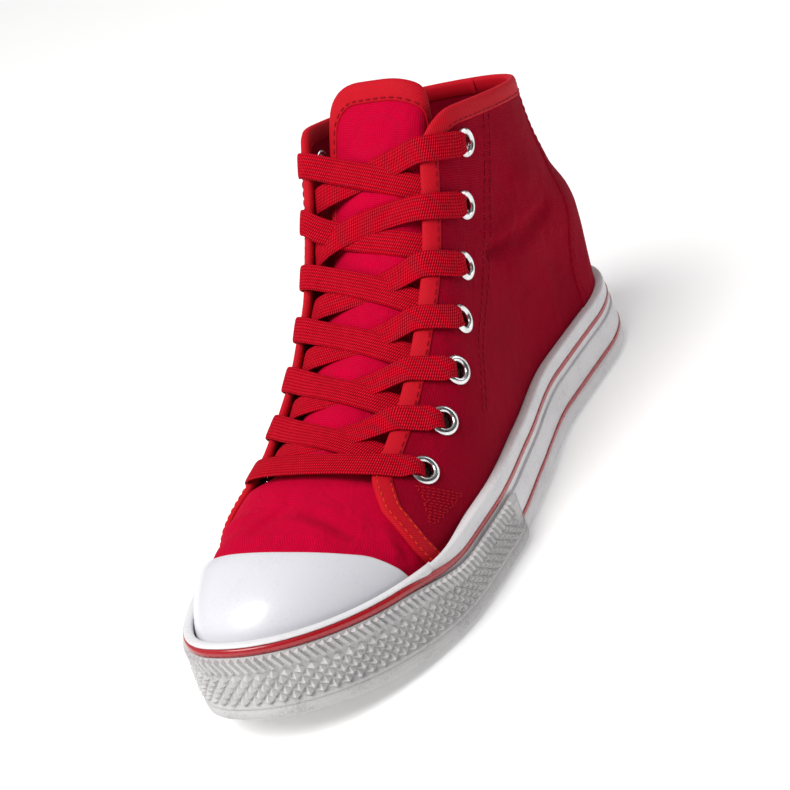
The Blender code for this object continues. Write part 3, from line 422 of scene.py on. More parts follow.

# %% [markdown]
# ## Folds
# Canvas that has been worn keeps a few folds: across the outer ankle, over the bend of the toes
# and beside the zip. A cloth simulation would put them anywhere, so each is given as a stroke
# in (u, s) with its own depth and width, and every cloth piece reads the same folds.

# %% The folds' strokes
# From (u, s), to (u, s), depth in mm (+ out), half width in mm.
FOLDS = (
    ((0.780, 54.0), (0.826, 76.0), -2.2, 2.6), ((0.822, 74.0), (0.852, 98.0), -2.6, 3.2),
    ((0.745, 70.0), (0.800, 96.0), 1.5, 9.0), ((0.806, 61.0), (0.856, 95.0), 1.9, 3.0),
    ((0.796, 70.0), (0.838, 96.0), -1.0, 2.2), ((0.768, 66.0), (0.812, 88.0), 0.8, 3.4),
    ((0.2387, 42.8), (0.2020, 55.0), -1.0, 1.7), ((0.2551, 36.8), (0.2130, 46.0), 1.1, 2.6),
    ((0.2800, 12.0), (0.2320, 32.5), -1.1, 2.6), ((0.2600, 4.0), (0.2300, 24.0), 0.9, 3.2),
    ((0.2320, -3.0), (0.3050, 4.0), -1.0, 2.4),
    ((0.2420, -12.0), (0.2260, -30.0), -1.0, 2.6),
    ((0.2700, -10.0), (0.2480, -30.0), 1.0, 3.2), ((0.880, 70.0), (0.902, 100.0), 0.6, 5.0),
    ((0.700, 74.0), (0.760, 92.0), -0.6, 4.2), ((0.560, 62.0), (0.600, 84.0), 0.5, 6.0),
    ((0.800, -58.0), (0.770, -74.0), -0.7, 3.4), ((0.700, -56.0), (0.660, -78.0), 0.5, 5.0),
    ((0.905, -88.0), (0.870, -104.0), -0.7, 3.2), ((0.885, -86.0), (0.850, -102.0), 0.6, 3.6),
)


def folded(u, s):
    """How far the folds push the cloth out (+) or in (-) at (u, s)."""
    points = on_last(u, s)
    push = np.zeros(points.shape[:-1])
    for start, end, depth, width in FOLDS:
        line = on_last(*np.linspace(start, end, 9).T)
        nearest = np.full(push.shape, 1e9)
        along = np.zeros(push.shape)
        for k in range(len(line) - 1):
            run = line[k + 1] - line[k]
            t = np.clip(((points - line[k]) @ run) / (run @ run), 0.0, 1.0)
            away = np.linalg.norm(points - line[k] - t[..., None] * run, axis=-1)
            along = np.where(away < nearest, (k + t) / (len(line) - 1), along)
            nearest = np.minimum(nearest, away)
        fade = np.clip(4 * along * (1 - along), 0.0, 1.0) ** 0.5 * 0.75 + 0.25
        push += depth * fade * np.exp(-((nearest / width) ** 2))
    x, y, z = points[..., 0], points[..., 1], points[..., 2]
    slow = np.sin(x / 11.0 + 1.3) * np.sin(z / 9.0 + 0.4)
    slow = slow + np.sin((x + y) / 6.5) * np.sin((z - y) / 7.5)
    return push + 0.16 * slow


def calm(u, s):
    """1 in the open cloth, 0 at the sole, under the cap and beside eyelets and edges."""
    points = on_last(u, s)
    near = np.full(points.shape[:-1], 1e9)
    for eyelet in EYELET_POINTS:
        near = np.minimum(near, np.linalg.norm(points - eyelet, axis=-1))
    sole = smooth((points[..., 2] - spring(points[..., 0]) - 25.0) / 5.0)
    edges = smooth((near - 6.0) / 6.0) * sole * smooth((1.0 - u) * RIDGE_LENGTH / 12.0)
    slot = (points[..., 1] < 0) & (abs(points[..., 0] - zip_x(points[..., 2])) < 16.0)
    return np.where(slot & (points[..., 2] > 46.0), 0.0, edges)


def rest_of(u, s):
    """The folds as they are used: faded out where the cloth is held."""
    return folded(u, s) * calm(u, s)


print("folds:", len(FOLDS))

# %% [markdown]
# ## Making meshes
# A sheet of cloth needs two faces and a rim, and a strip of tape needs a section swept along a
# line. Modifiers could thicken a sheet, but a sheet that is written point by point keeps a clean
# UV map in millimetres, so that one weave runs over every piece at the same size.

# %% Object helpers
def place_new(name, data):
    """A new object in the scene for a mesh, a curve, a lamp or a camera."""
    made = bpy.data.objects.new(name, data)
    bpy.context.scene.collection.objects.link(made)
    return made


def discard(made):
    """Removes a helper object and its mesh."""
    mesh = made.data
    bpy.data.objects.remove(made)
    bpy.data.meshes.remove(mesh)


def evaluated_mesh(made):
    """An object's shape with its curve or its modifiers worked out, as a plain mesh."""
    bpy.context.view_layer.update()
    graph = bpy.context.evaluated_depsgraph_get()
    return bpy.data.meshes.new_from_object(made.evaluated_get(graph))


# %% Mesh helpers
def new_object(name, points, faces, uvs=None, face_slots=None):
    """A mesh object from points in mm; uvs are in mm too, one for each corner of each face."""
    mesh = bpy.data.meshes.new(name)
    mesh.from_pydata((np.asarray(points) * MM).tolist(), [], [list(map(int, f)) for f in faces])
    if uvs is not None:
        layer = mesh.uv_layers.new(name="cloth")
        layer.data.foreach_set("uv", (np.asarray(uvs, np.float32) * MM).ravel())
    if face_slots is not None:
        mesh.polygons.foreach_set("material_index", np.asarray(face_slots, np.int32))
    mesh.shade_smooth()
    mesh.update()
    return place_new(name, mesh)


def grid_faces(rows, columns, first=0):
    """Quads of a grid of points, row by row."""
    index = first + np.arange(rows * columns).reshape(rows, columns)
    quads = np.stack([index[:-1, :-1], index[:-1, 1:], index[1:, 1:], index[1:, :-1]], axis=-1)
    return quads.reshape(-1, 4)


def running(points, axis):
    """Distance along a grid's rows (1) or columns (0)."""
    steps = np.linalg.norm(np.diff(points, axis=axis), axis=-1)
    zero = np.zeros_like(np.take(steps, [0], axis=axis))
    return np.concatenate([zero, np.cumsum(steps, axis=axis)], axis=axis)


def shell(name, outer, inner, keep=None):
    """A closed sheet from two grids of points; its inner face gets material slot 1."""
    rows, columns = outer.shape[:2]
    uv = np.stack([running(outer, 0), running(outer, 1)], axis=-1).reshape(-1, 2)
    quads = grid_faces(rows, columns)
    if keep is not None:
        quads = quads[keep.reshape(-1)]
    count = rows * columns
    edges = np.concatenate([quads[:, [k, (k + 1) % 4]] for k in range(4)])
    key = np.sort(edges, axis=1)
    _, index, times = np.unique(key, axis=0, return_inverse=True, return_counts=True)
    rim = edges[times[index.reshape(-1)] == 1]
    rim = np.column_stack([rim[:, 1], rim[:, 0], rim[:, 0] + count, rim[:, 1] + count])
    faces = np.concatenate([quads, quads[:, ::-1] + count, rim])
    used = np.zeros(2 * count, bool)
    used[faces.ravel()] = True
    renumber = np.cumsum(used) - 1
    points = np.concatenate([outer.reshape(-1, 3), inner.reshape(-1, 3)])[used]
    uvs = np.concatenate([uv, uv])[faces.ravel()]
    slots = np.concatenate([np.zeros(len(quads)), np.ones(len(quads)), np.zeros(len(rim))])
    return face_out(new_object(name, points, renumber[faces], uvs, slots))


def tube(name, sections, closed=False):
    """A closed skin through a row of closed sections, with its ends filled unless it is a ring."""
    sections = np.asarray(sections)
    rows, columns = sections.shape[:2]
    looped = np.concatenate([sections, sections[:, :1]], axis=1)
    if closed:
        looped = np.concatenate([looped, looped[:1]])
    along = running(looped, 0)
    along = np.repeat(along.mean(axis=1, keepdims=True), columns + 1, axis=1)
    uv = np.stack([along, running(looped, 1)], axis=-1).reshape(-1, 2)
    quads = grid_faces(looped.shape[0], columns + 1)
    row, column = quads // (columns + 1), quads % (columns + 1)
    faces = [list(f) for f in (row % rows) * columns + column % columns]
    uvs = uv[quads.ravel()]
    if not closed:
        ends = [list(range(columns)), list(range((rows - 1) * columns, rows * columns))[::-1]]
        faces = faces + ends
        uvs = np.concatenate([uvs, uv[:columns], uv[-columns - 1 : -1][::-1]])
    return face_out(new_object(name, sections.reshape(-1, 3), faces, uvs))


def face_out(made):
    """Turns a closed mesh the right way out, by the sign of its volume."""
    shape = bmesh.new()
    shape.from_mesh(made.data)
    if shape.calc_volume(signed=True) < 0:
        bmesh.ops.reverse_faces(shape, faces=shape.faces)
        shape.to_mesh(made.data)
    shape.free()
    return made


def put_together(name, pieces):
    """One mesh object from several, with their material slots kept in the same order."""
    shape = bmesh.new()
    for piece in pieces:
        shape.from_mesh(piece.data)
    mesh = bpy.data.meshes.new(name)
    shape.to_mesh(mesh)
    shape.free()
    mesh.shade_smooth()
    for piece in pieces:
        discard(piece)
    return place_new(name, mesh)


def spaced(path):
    """A path of (u, s) cut into even steps of about 1 mm along the surface."""
    path = np.asarray(path, float)
    run = lengths(on_last(path[:, 0], path[:, 1]))
    count = max(int(round(run[-1])), 2)
    at = np.linspace(0, run[-1], count + 1)
    return np.column_stack([np.interp(at, run, path[:, 0]), np.interp(at, run, path[:, 1])])


def eased(path, window):
    """A path with its corners rounded by averaging neighbours; its ends stay."""
    half = window // 2
    padded = np.concatenate(
        [2 * path[0] - path[half:0:-1], path, 2 * path[-1] - path[-2 : -half - 2 : -1]]
    )
    kernel = np.hanning(2 * half + 3)[1:-1]
    kernel = kernel / kernel.sum()
    return np.column_stack([np.convolve(padded[:, k], kernel, mode="valid") for k in (0, 1)])


def beside(path, distances, hand):
    """Lines beside a path on the last: (u, s) at each distance in mm, to the left (+1) or right."""
    points = on_last(path[:, 0], path[:, 1])
    along = unit(np.gradient(points, axis=0))
    start = unit(np.cross(outward(path[:, 0], path[:, 1]), along)) * hand
    lines = []
    for distance in distances:
        u, s = path[:, 0].copy(), path[:, 1].copy()
        across = start.copy()
        steps = max(int(math.ceil(abs(distance) / 1.0)), 1)
        for _ in range(steps):
            by_u, by_s = slopes(u, s)
            level = unit(np.cross(by_s, by_u))
            across = unit(across - (across * level).sum(axis=-1, keepdims=True) * level)
            a = (by_u * by_u).sum(axis=-1)
            b = (by_u * by_s).sum(axis=-1)
            c = (by_s * by_s).sum(axis=-1)
            p = (by_u * across).sum(axis=-1) * distance / steps
            q = (by_s * across).sum(axis=-1) * distance / steps
            det = np.maximum(a * c - b * b, 1e-9)
            u = u + (c * p - b * q) / det
            s = s + (a * q - b * p) / det
        lines.append(np.column_stack([u, s]))
    return np.array(lines)


def strip(name, path, profile, hand, level, below=1.0):
    """Tape along a path over a level: its section is a closed profile of (distance in, rise)."""
    lines = beside(path, [d for d, _ in profile], hand)
    sections = []
    for line, (_, rise) in zip(lines, profile):
        up = rise * below if rise < 0 else rise
        sections.append(skin(line[:, 0], line[:, 1], up + level(line[:, 0], line[:, 1])))
    return tube(name, np.stack(sections, axis=1))


def boxy_ring(count, half, thick, across_power=1.0, lift_power=1.0):
    """A closed section of (across, lift): an ellipse, or a boxier form with powers under 1."""
    points = []
    for k in range(count):
        angle = 2 * math.pi * k / count
        across, lift = math.cos(angle), math.sin(angle)
        across = math.copysign(abs(across) ** across_power, across) * half
        points.append((across, math.copysign(abs(lift) ** lift_power, lift) * thick))
    return points


print("mesh helpers ready")
# %% [markdown]
# ## Finishes
# Every finish is a node material. Flat colours and painted pictures were the other choices, but
# nodes give thread, dye and wear at their real size. One helper adds a node, one turns a
# colour's hex code to linear light, and cloth reads the UV map that runs in real lengths.

# %% Node and colour helpers
def live(value):
    """A node's first live output; anything else stays as it is."""
    if isinstance(value, bpy.types.Node):
        return next(output for output in value.outputs if output.enabled)
    return value


def add_node(tree, kind, values=None, **settings):
    """Adds a node; a node or a socket among the values becomes a link, the rest constants."""
    made = tree.nodes.new(kind)
    for setting, value in settings.items():
        setattr(made, setting, value)
    for name, value in (values or {}).items():
        value = live(value)
        if isinstance(value, bpy.types.NodeSocket):
            tree.links.new(value, made.inputs[name])
        else:
            made.inputs[name].default_value = value
    return made


def paint(code):
    """An sRGB hex colour as linear RGBA."""
    parts = [int(code[i : i + 2], 16) / 255 for i in (0, 2, 4)]
    linear = [c / 12.92 if c <= 0.04045 else ((c + 0.055) / 1.055) ** 2.4 for c in parts]
    return (*linear, 1.0)


def bands(period):
    """The wave texture's scale for bands of a period in mm."""
    return math.pi / (10 * period * MM)


def grains(size):
    """The noise texture's scale for patches of a size in mm."""
    return 1 / (size * MM)


def new_finish(name, constants):
    """A material with its constant numbers, and its tree, its shader and the place on a piece."""
    made = bpy.data.materials.new(name)
    made.use_nodes = True
    tree = made.node_tree
    shader = tree.nodes["Principled BSDF"]
    for socket, value in constants.items():
        shader.inputs[socket].default_value = value
    return made, tree, shader, add_node(tree, "ShaderNodeTexCoord").outputs["Object"]


def dress(tree, shader, colour, height=None, depth=0.0, strength=0.6, roughness=None):
    """Links a colour, a bump of a depth in metres and a roughness to the shader."""
    tree.links.new(live(colour), shader.inputs["Base Color"])
    if roughness is not None:
        tree.links.new(live(roughness), shader.inputs["Roughness"])
    if height is not None:
        values = {"Height": height, "Distance": depth, "Strength": strength}
        tree.links.new(live(add_node(tree, "ShaderNodeBump", values)), shader.inputs["Normal"])


def wear(made, *finishes):
    """Gives an object its finishes, in the order of its material slots."""
    made.data.materials.clear()
    for finish in finishes:
        made.data.materials.append(finish)
    return made


print("one millimetre band:", round(bands(1.0), 1))

# %% [markdown]
# ### Canvas
# The upper is plain-woven cotton canvas, piece-dyed red: matt, slightly uneven in its dye, paler
# where it rubs, and softly crumpled. The same cloth is made twice: a darker copy with painted
# shade for the quarters and heel stays, and a lighter copy with painted light for the vamp and
# tongue. Real threads are about 0.5 mm apart. They are drawn 0.8 mm apart here, and 1 mm or
# more inside, so that the weave can be seen.

# %% Woven finishes
CRUMPLE = 12.0  # a crumple is this many threads deep
DYE_PATCH, CRUMPLE_SIZE, SLUB, FIBRE = 22.0, 9.0, 2.5, 1.6  # sizes in mm
SLUB_SWAY = 0.00035


def woven(tree, spacing):
    """Height of a plain weave, 0 between the threads and 1 on them, from the cloth's UV map."""
    cloth = add_node(tree, "ShaderNodeUVMap", uv_map="cloth")
    slub = add_node(tree, "ShaderNodeTexNoise", {"Vector": cloth, "Scale": grains(SLUB)})
    sway = {0: slub.outputs["Color"], 1: (SLUB_SWAY, SLUB_SWAY, 0.0)}
    shift = add_node(tree, "ShaderNodeVectorMath", sway, operation="MULTIPLY")
    place = add_node(tree, "ShaderNodeVectorMath", {0: cloth, 1: shift})
    threads = {"Vector": place, "Scale": bands(spacing)}
    warp = add_node(tree, "ShaderNodeTexWave", threads).outputs["Fac"]
    weft = add_node(tree, "ShaderNodeTexWave", threads, bands_direction="Y").outputs["Fac"]
    both = add_node(tree, "ShaderNodeMath", {0: warp, 1: weft}, operation="MULTIPLY")
    return add_node(tree, "ShaderNodeMath", {0: both, 1: 0.6}, operation="POWER")


def dyed_cloth(name, shade, light, worn, spacing, sheen, roughness, depth):
    """Dyed woven cotton: dark between the threads, uneven in its dye, paler where it rubs."""
    constants = {"Roughness": roughness, "Specular IOR Level": 0.06}
    constants |= {"Sheen Weight": sheen, "Sheen Roughness": 0.45, "Sheen Tint": paint(worn)}
    made, tree, shader, place = new_finish(name, constants)
    weave = woven(tree, spacing)
    tones = {"Factor": weave, "A": paint(shade), "B": paint(light)}
    threads = add_node(tree, "ShaderNodeMix", tones, data_type="RGBA")
    patches = {"Vector": place, "Scale": grains(DYE_PATCH), "Detail": 4.0}
    dye = add_node(tree, "ShaderNodeTexNoise", patches)
    share = {"Value": dye, "From Min": 0.35, "From Max": 0.65, "To Max": 0.4}
    uneven = add_node(tree, "ShaderNodeMapRange", share)
    tones = {"Factor": uneven, "A": threads, "B": paint(shade)}
    dyed = add_node(tree, "ShaderNodeMix", tones, data_type="RGBA")
    fluff = {"Vector": place, "Scale": grains(FIBRE), "Detail": 3.0, "Roughness": 0.7}
    fibre = add_node(tree, "ShaderNodeTexNoise", fluff)
    share = {"Value": fibre, "From Min": 0.62, "From Max": 0.82, "To Max": 0.35}
    flecks = add_node(tree, "ShaderNodeMapRange", share)
    tones = {"Factor": flecks, "A": dyed, "B": paint(worn)}
    rubbed = add_node(tree, "ShaderNodeMix", tones, data_type="RGBA")
    threads_up = add_node(
        tree, "ShaderNodeMath", {0: fibre, 1: 0.35, 2: weave}, operation="MULTIPLY_ADD"
    )
    folds = {"Vector": place, "Scale": grains(CRUMPLE_SIZE), "Detail": 2.0, "Distortion": 0.6}
    crumple = add_node(tree, "ShaderNodeTexNoise", folds)
    height = add_node(
        tree, "ShaderNodeMath", {0: crumple, 1: CRUMPLE, 2: threads_up}, operation="MULTIPLY_ADD"
    )
    dress(tree, shader, rubbed, height, depth)
    return made


# Painted shade and light: the first canvas is the darker copy for the quarters and heel stays, the
# second the lighter copy for the vamp and tongue.
canvas = dyed_cloth("woven_cotton_canvas", "80001C", "B80028", "CC0438", 0.8, 0.0, 0.9, 0.0002)
lit_canvas = dyed_cloth("soft_cotton_canvas", "B0002A", "DC003A", "E81048", 0.8, 0.0, 0.92, 0.00022)
lining = dyed_cloth("brushed_cotton_lining", "6A0412", "940A1E", "A82038", 1.0, 0.0, 0.95, 0.00014)
insole_cloth = dyed_cloth("insole_cotton_twill", "7A736A", "B4AB9E", "CFC8BC", 1.3, 0.1, 0.95, 0.0002)
print("cloth finishes made")

# %% [markdown]
# ### Tape, thread and lace
# Bindings are cotton twill tape, finer and a little more orange than the canvas, with fine
# slanted ribs. Threads are twisted polyester with some gloss. The laces are flat braided
# cotton: slanted rows of plaits, 0.75 mm a row and eight plaits to a row.

# %% Tape and thread
def ribbed_tape(name, shade, light, period, slant, roughness, sheen=0.0, depth=0.00008):
    """Narrow woven tape: slanted ribs from the UV map, uneven dye and a little fluff."""
    constants = {"Roughness": roughness, "Specular IOR Level": 0.12}
    constants |= {"Sheen Weight": sheen, "Sheen Tint": paint(light)}
    made, tree, shader, place = new_finish(name, constants)
    cloth = add_node(tree, "ShaderNodeUVMap", uv_map="cloth")
    turn = {"Vector": cloth, "Rotation": (0.0, 0.0, math.radians(slant))}
    turned = add_node(tree, "ShaderNodeMapping", turn)
    rows = {"Vector": turned, "Scale": bands(period), "Distortion": 0.6, "Detail Scale": 2.0}
    ribs = add_node(tree, "ShaderNodeTexWave", rows).outputs["Fac"]
    patches = {"Vector": place, "Scale": grains(5.0), "Detail": 5.0, "Roughness": 0.65}
    fluff = add_node(tree, "ShaderNodeTexNoise", patches)
    tone = add_node(tree, "ShaderNodeMath", {0: fluff, 1: 0.5, 2: ribs}, operation="MULTIPLY_ADD")
    tones = {"Factor": tone, "A": paint(shade), "B": paint(light)}
    dress(tree, shader, add_node(tree, "ShaderNodeMix", tones, data_type="RGBA"), ribs, depth)
    return made


binding_tape = ribbed_tape("cotton_twill_tape", "A00418", "C80E22", 0.7, 35.0, 0.7, depth=0.0001)
thread_orange = ribbed_tape("twisted_thread_orange", "B81C0A", "EE4420", 0.5, 60.0, 0.5)
thread_red = ribbed_tape("twisted_thread_red", "6A0012", "A00020", 0.5, 60.0, 0.5)
zip_tape = ribbed_tape("knitted_polyester_zip_tape", "050506", "26262A", 0.8, 20.0, 0.75, 0.1, 0.0001)


# %% Lace
def braided_lace(name, shade, light, plait_highlight, plait, column):
    """A flat braid: slanted rows of plaits, with painted shade between them and a painted highlight
    where each plait stands up.
    """
    constants = {"Roughness": 0.85, "Sheen Weight": 0.0, "Specular IOR Level": 0.04}
    made, tree, shader, place = new_finish(name, constants)
    cloth = add_node(tree, "ShaderNodeUVMap", uv_map="cloth")
    parts = add_node(tree, "ShaderNodeSeparateXYZ", {"Vector": cloth}).outputs
    slant = {0: parts["Y"], 1: 0.3, 2: parts["X"]}
    slanted = add_node(tree, "ShaderNodeMath", slant, operation="MULTIPLY_ADD")
    waves = []
    for at, period in ((slanted, plait), (parts["Y"], column)):
        place_at_it = add_node(tree, "ShaderNodeCombineXYZ", {"X": at})
        wave = add_node(tree, "ShaderNodeTexWave", {"Vector": place_at_it, "Scale": bands(period)})
        waves.append(wave.outputs["Fac"])
    rows = {0: waves[1], 1: 0.55, 2: 0.45}
    across = add_node(tree, "ShaderNodeMath", rows, operation="MULTIPLY_ADD")
    plaits = add_node(tree, "ShaderNodeMath", {0: waves[0], 1: across}, operation="MULTIPLY")
    fluff = {"Vector": place, "Scale": grains(2.5), "Detail": 4.0, "Roughness": 0.7}
    fibre = add_node(tree, "ShaderNodeTexNoise", fluff)
    tone = add_node(tree, "ShaderNodeMath", {0: fibre, 1: 0.35, 2: plaits}, operation="MULTIPLY_ADD")
    colour = add_node(tree, "ShaderNodeValToRGB", {"Fac": tone})
    ramp = colour.color_ramp.elements
    ramp.new(0.72)
    for stop, (position, code) in zip(ramp, ((0.2, shade), (0.72, light), (1.0, plait_highlight))):
        stop.position = position
        stop.color = paint(code)
    dress(tree, shader, colour, plaits, 0.00022, 0.8)
    return made


# The lace's third colour is a painted highlight on top of each plait.
lace_braid = braided_lace("braided_cotton_lace", "6C020E", "C8041C", "E41E3A", 0.75, 1.05)
print("tape, thread and lace finishes made")

# %% [markdown]
# ### Rubber and metal
# The cap is moulded rubber with a lacquer on it, the foxing is calendered rubber with a satin
# skin, and the bumper is the same white rubber, matt, with painted shade that makes it greyer.
# The eyelets are stamped nickel-plated brass, the pull is tumbled antique nickel, and the slider
# is cast zinc painted black.

# %% Rubber
def rubber(name, clean, dull, rough_low, rough_high, coat, depth, speck=0.8):
    """Moulded rubber: a clean and a duller tone in patches, fine dust, a slightly uneven gloss."""
    constants = {"IOR": 1.5, "Specular IOR Level": 0.5, "Coat Weight": coat, "Coat Roughness": 0.08}
    made, tree, shader, place = new_finish(name, constants)
    clouds = {"Vector": place, "Scale": grains(14.0), "Detail": 6.0, "Roughness": 0.6}
    patches = add_node(tree, "ShaderNodeTexNoise", clouds)
    dust = {"Vector": place, "Scale": grains(speck), "Detail": 3.0}
    spots = add_node(tree, "ShaderNodeTexNoise", dust)
    mixed = add_node(tree, "ShaderNodeMath", {0: patches, 1: spots}, operation="MULTIPLY")
    share = {"Value": mixed, "From Min": 0.24, "From Max": 0.45}
    soiled = add_node(tree, "ShaderNodeMapRange", share)
    tones = {"Factor": soiled, "A": paint(clean), "B": paint(dull)}
    colour = add_node(tree, "ShaderNodeMix", tones, data_type="RGBA")
    span_of = {"From Min": 0.3, "From Max": 0.7, "To Min": rough_low, "To Max": rough_high}
    gloss = add_node(tree, "ShaderNodeMapRange", {"Value": patches} | span_of)
    dress(tree, shader, colour, spots, depth, 0.4, gloss)
    return made


cap_rubber = rubber("lacquered_cap_rubber", "D8D8DE", "D0D0D8", 0.28, 0.4, 0.25, 0.00001)
foxing_rubber = rubber("satin_foxing_rubber", "E2E1E3", "D0CED2", 0.38, 0.5, 0.05, 0.00003, 0.9)
# The bumper's greyer tones are painted shade on the same white rubber as the foxing.
shaded_bumper_rubber = rubber("matt_bumper_rubber", "C4C2C2", "A8A4A8", 0.5, 0.65, 0.0, 0.00004)
stripe_rubber = rubber("glossy_red_rubber", "A80A1A", "900814", 0.22, 0.34, 0.4, 0.00002)
sole_rubber = rubber("grey_white_sole_rubber", "DAD8D6", "B9B6B4", 0.55, 0.7, 0.0, 0.00005)
print("rubber finishes made")


# %% Metal
def worn_metal(name, base, bright, rough_low, rough_high, grain, depth):
    """Plated metal: brighter where it is rubbed, dull in the hollows, with fine scratches."""
    made, tree, shader, place = new_finish(name, {"Metallic": 1.0})
    clouds = {"Vector": place, "Scale": grains(grain), "Detail": 5.0, "Roughness": 0.65}
    cloud = add_node(tree, "ShaderNodeTexNoise", clouds)
    drawn = add_node(tree, "ShaderNodeMapping", {"Vector": place, "Scale": (1.0, 6.0, 1.0)})
    lines = {"Vector": drawn, "Scale": grains(0.6), "Detail": 2.0}
    scratches = add_node(tree, "ShaderNodeTexNoise", lines)
    share = {"Value": cloud, "From Min": 0.35, "From Max": 0.65}
    tone = add_node(tree, "ShaderNodeMapRange", share)
    tones = {"Factor": tone, "A": paint(base), "B": paint(bright)}
    colour = add_node(tree, "ShaderNodeMix", tones, data_type="RGBA")
    span_of = {"From Min": 0.3, "From Max": 0.7, "To Min": rough_low, "To Max": rough_high}
    gloss = add_node(tree, "ShaderNodeMapRange", {"Value": scratches} | span_of)
    dress(tree, shader, colour, scratches, depth, 0.3, gloss)
    return made


nickel = worn_metal("nickel_plated_brass", "CCCCCE", "ECECEC", 0.14, 0.26, 3.0, 0.000004)
pull_metal = worn_metal("tumbled_antique_nickel", "6E6260", "A89C98", 0.28, 0.45, 2.5, 0.00003)
tooth_metal = worn_metal("stamped_zip_teeth", "8C8784", "D0CCC8", 0.22, 0.4, 1.5, 0.00001)
slider_metal = worn_metal("black_painted_zinc", "0C0C0E", "232226", 0.3, 0.5, 2.0, 0.00002)
bridge_metal = worn_metal("polished_zinc", "B8B4B0", "ECE8E4", 0.2, 0.34, 2.0, 0.00001)
print("metal finishes made")

# %% [markdown]
# ## Two node trees for everything that repeats
# Stitches could be modelled one by one, and studs could be copied with arrays. Geometry Nodes
# do both better: one tree walks along a seam and lays a stitch at each step, and the other
# sets a small shape on each of a cloud of points, turned to the surface under it.

# %% What both trees share
STORED = "GeometryNodeInputNamedAttribute"


def new_tree(name, inputs):
    """A Geometry Nodes tree with named inputs, and the sockets that bring them in."""
    tree = bpy.data.node_groups.new(name, "GeometryNodeTree")
    for label, kind in inputs.items():
        tree.interface.new_socket(name=label, in_out="INPUT", socket_type="NodeSocket" + kind)
    tree.interface.new_socket(name="Made", in_out="OUTPUT", socket_type="NodeSocketGeometry")
    return tree, tree.nodes.new("NodeGroupInput").outputs


def set_on_points(tree, values, along, out, finish):
    """Shapes on points, X along the seam and Z out of the surface, made real and painted."""
    align = "FunctionNodeAlignRotationToVector"
    first = add_node(tree, align, {"Vector": along}, axis="X", pivot_axis="AUTO")
    turned = {"Rotation": first, "Vector": out}
    second = add_node(tree, align, turned, axis="Z", pivot_axis="X")
    laid = add_node(tree, "GeometryNodeInstanceOnPoints", values | {"Rotation": second})
    real = add_node(tree, "GeometryNodeRealizeInstances", {"Geometry": laid})
    painted = add_node(tree, "GeometryNodeSetMaterial", {"Geometry": real, "Material": finish})
    add_node(tree, "NodeGroupOutput", {0: painted})
    print(tree.name, "has", len(tree.nodes), "nodes")


# %% The stitch tree
sizes = {"Spacing": "Float", "Stitch Length": "Float", "Thread": "Float"}
stitch_inputs = {"Seam": "Geometry"} | sizes | {"Finish": "Material"}
stitch_tree, seam = new_tree("stitch_a_seam", stitch_inputs)
seam_curve = add_node(stitch_tree, "GeometryNodeMeshToCurve", {"Mesh": seam["Seam"]})
walk = {"Curve": seam_curve, "Length": seam["Spacing"]}
seam_steps = add_node(stitch_tree, "GeometryNodeResampleCurve", walk, mode="LENGTH")
bead = {"Segments": 6, "Rings": 4, "Radius": 0.5}
bead_of_thread = add_node(stitch_tree, "GeometryNodeMeshUVSphere", bead)
stretch = {"X": seam["Stitch Length"], "Y": seam["Thread"], "Z": seam["Thread"]}
stitch_size = add_node(stitch_tree, "ShaderNodeCombineXYZ", stretch)
stretched = {"Geometry": bead_of_thread, "Scale": stitch_size}
one_stitch = add_node(stitch_tree, "GeometryNodeTransform", stretched)
seam_along = add_node(stitch_tree, "GeometryNodeInputTangent")
seam_out = add_node(stitch_tree, STORED, {"Name": "out"}, data_type="FLOAT_VECTOR")
steps_and_stitch = {"Points": seam_steps, "Instance": one_stitch}
set_on_points(stitch_tree, steps_and_stitch, seam_along, seam_out, seam["Finish"])

# %% The tree that sets shapes on points
setting_tree, setting = new_tree(
    "set_shapes_on_points",
    {"Points": "Geometry", "Shape": "Object", "Size": "Float", "Finish": "Material"},
)
shape_in = add_node(setting_tree, "GeometryNodeObjectInfo", {"Object": setting["Shape"]})
points_and_shape = {
    "Points": setting["Points"],
    "Instance": shape_in.outputs["Geometry"],
    "Scale": setting["Size"],
}
points_along = add_node(setting_tree, STORED, {"Name": "along"}, data_type="FLOAT_VECTOR")
points_out = add_node(setting_tree, STORED, {"Name": "out"}, data_type="FLOAT_VECTOR")
set_on_points(setting_tree, points_and_shape, points_along, points_out, setting["Finish"])


# %% Running a tree
def run_tree(made, tree, values):
    """Runs a tree on an object and keeps the result as a plain mesh."""
    work = made.modifiers.new("Work", "NODES")
    work.node_group = tree
    for socket in tree.interface.items_tree:
        if socket.in_out == "INPUT" and socket.name in values:
            work[socket.identifier] = values[socket.name]
    old, made.data = made.data, evaluated_mesh(made)
    made.modifiers.clear()
    made.data.name = made.name
    bpy.data.meshes.remove(old)
    if not made.data.uv_layers:
        made.data.uv_layers.new(name="cloth")
    made.data.uv_layers[0].name = "cloth"
    return made


def point_object(name, points, edges, vectors):
    """Bare points, or lines, with vectors stored on them for a tree to read."""
    mesh = bpy.data.meshes.new(name)
    mesh.from_pydata((np.asarray(points) * MM).tolist(), edges, [])
    for label, values in vectors.items():
        layer = mesh.attributes.new(label, "FLOAT_VECTOR", "POINT")
        layer.data.foreach_set("vector", np.asarray(values, np.float32).ravel())
    return place_new(name, mesh)


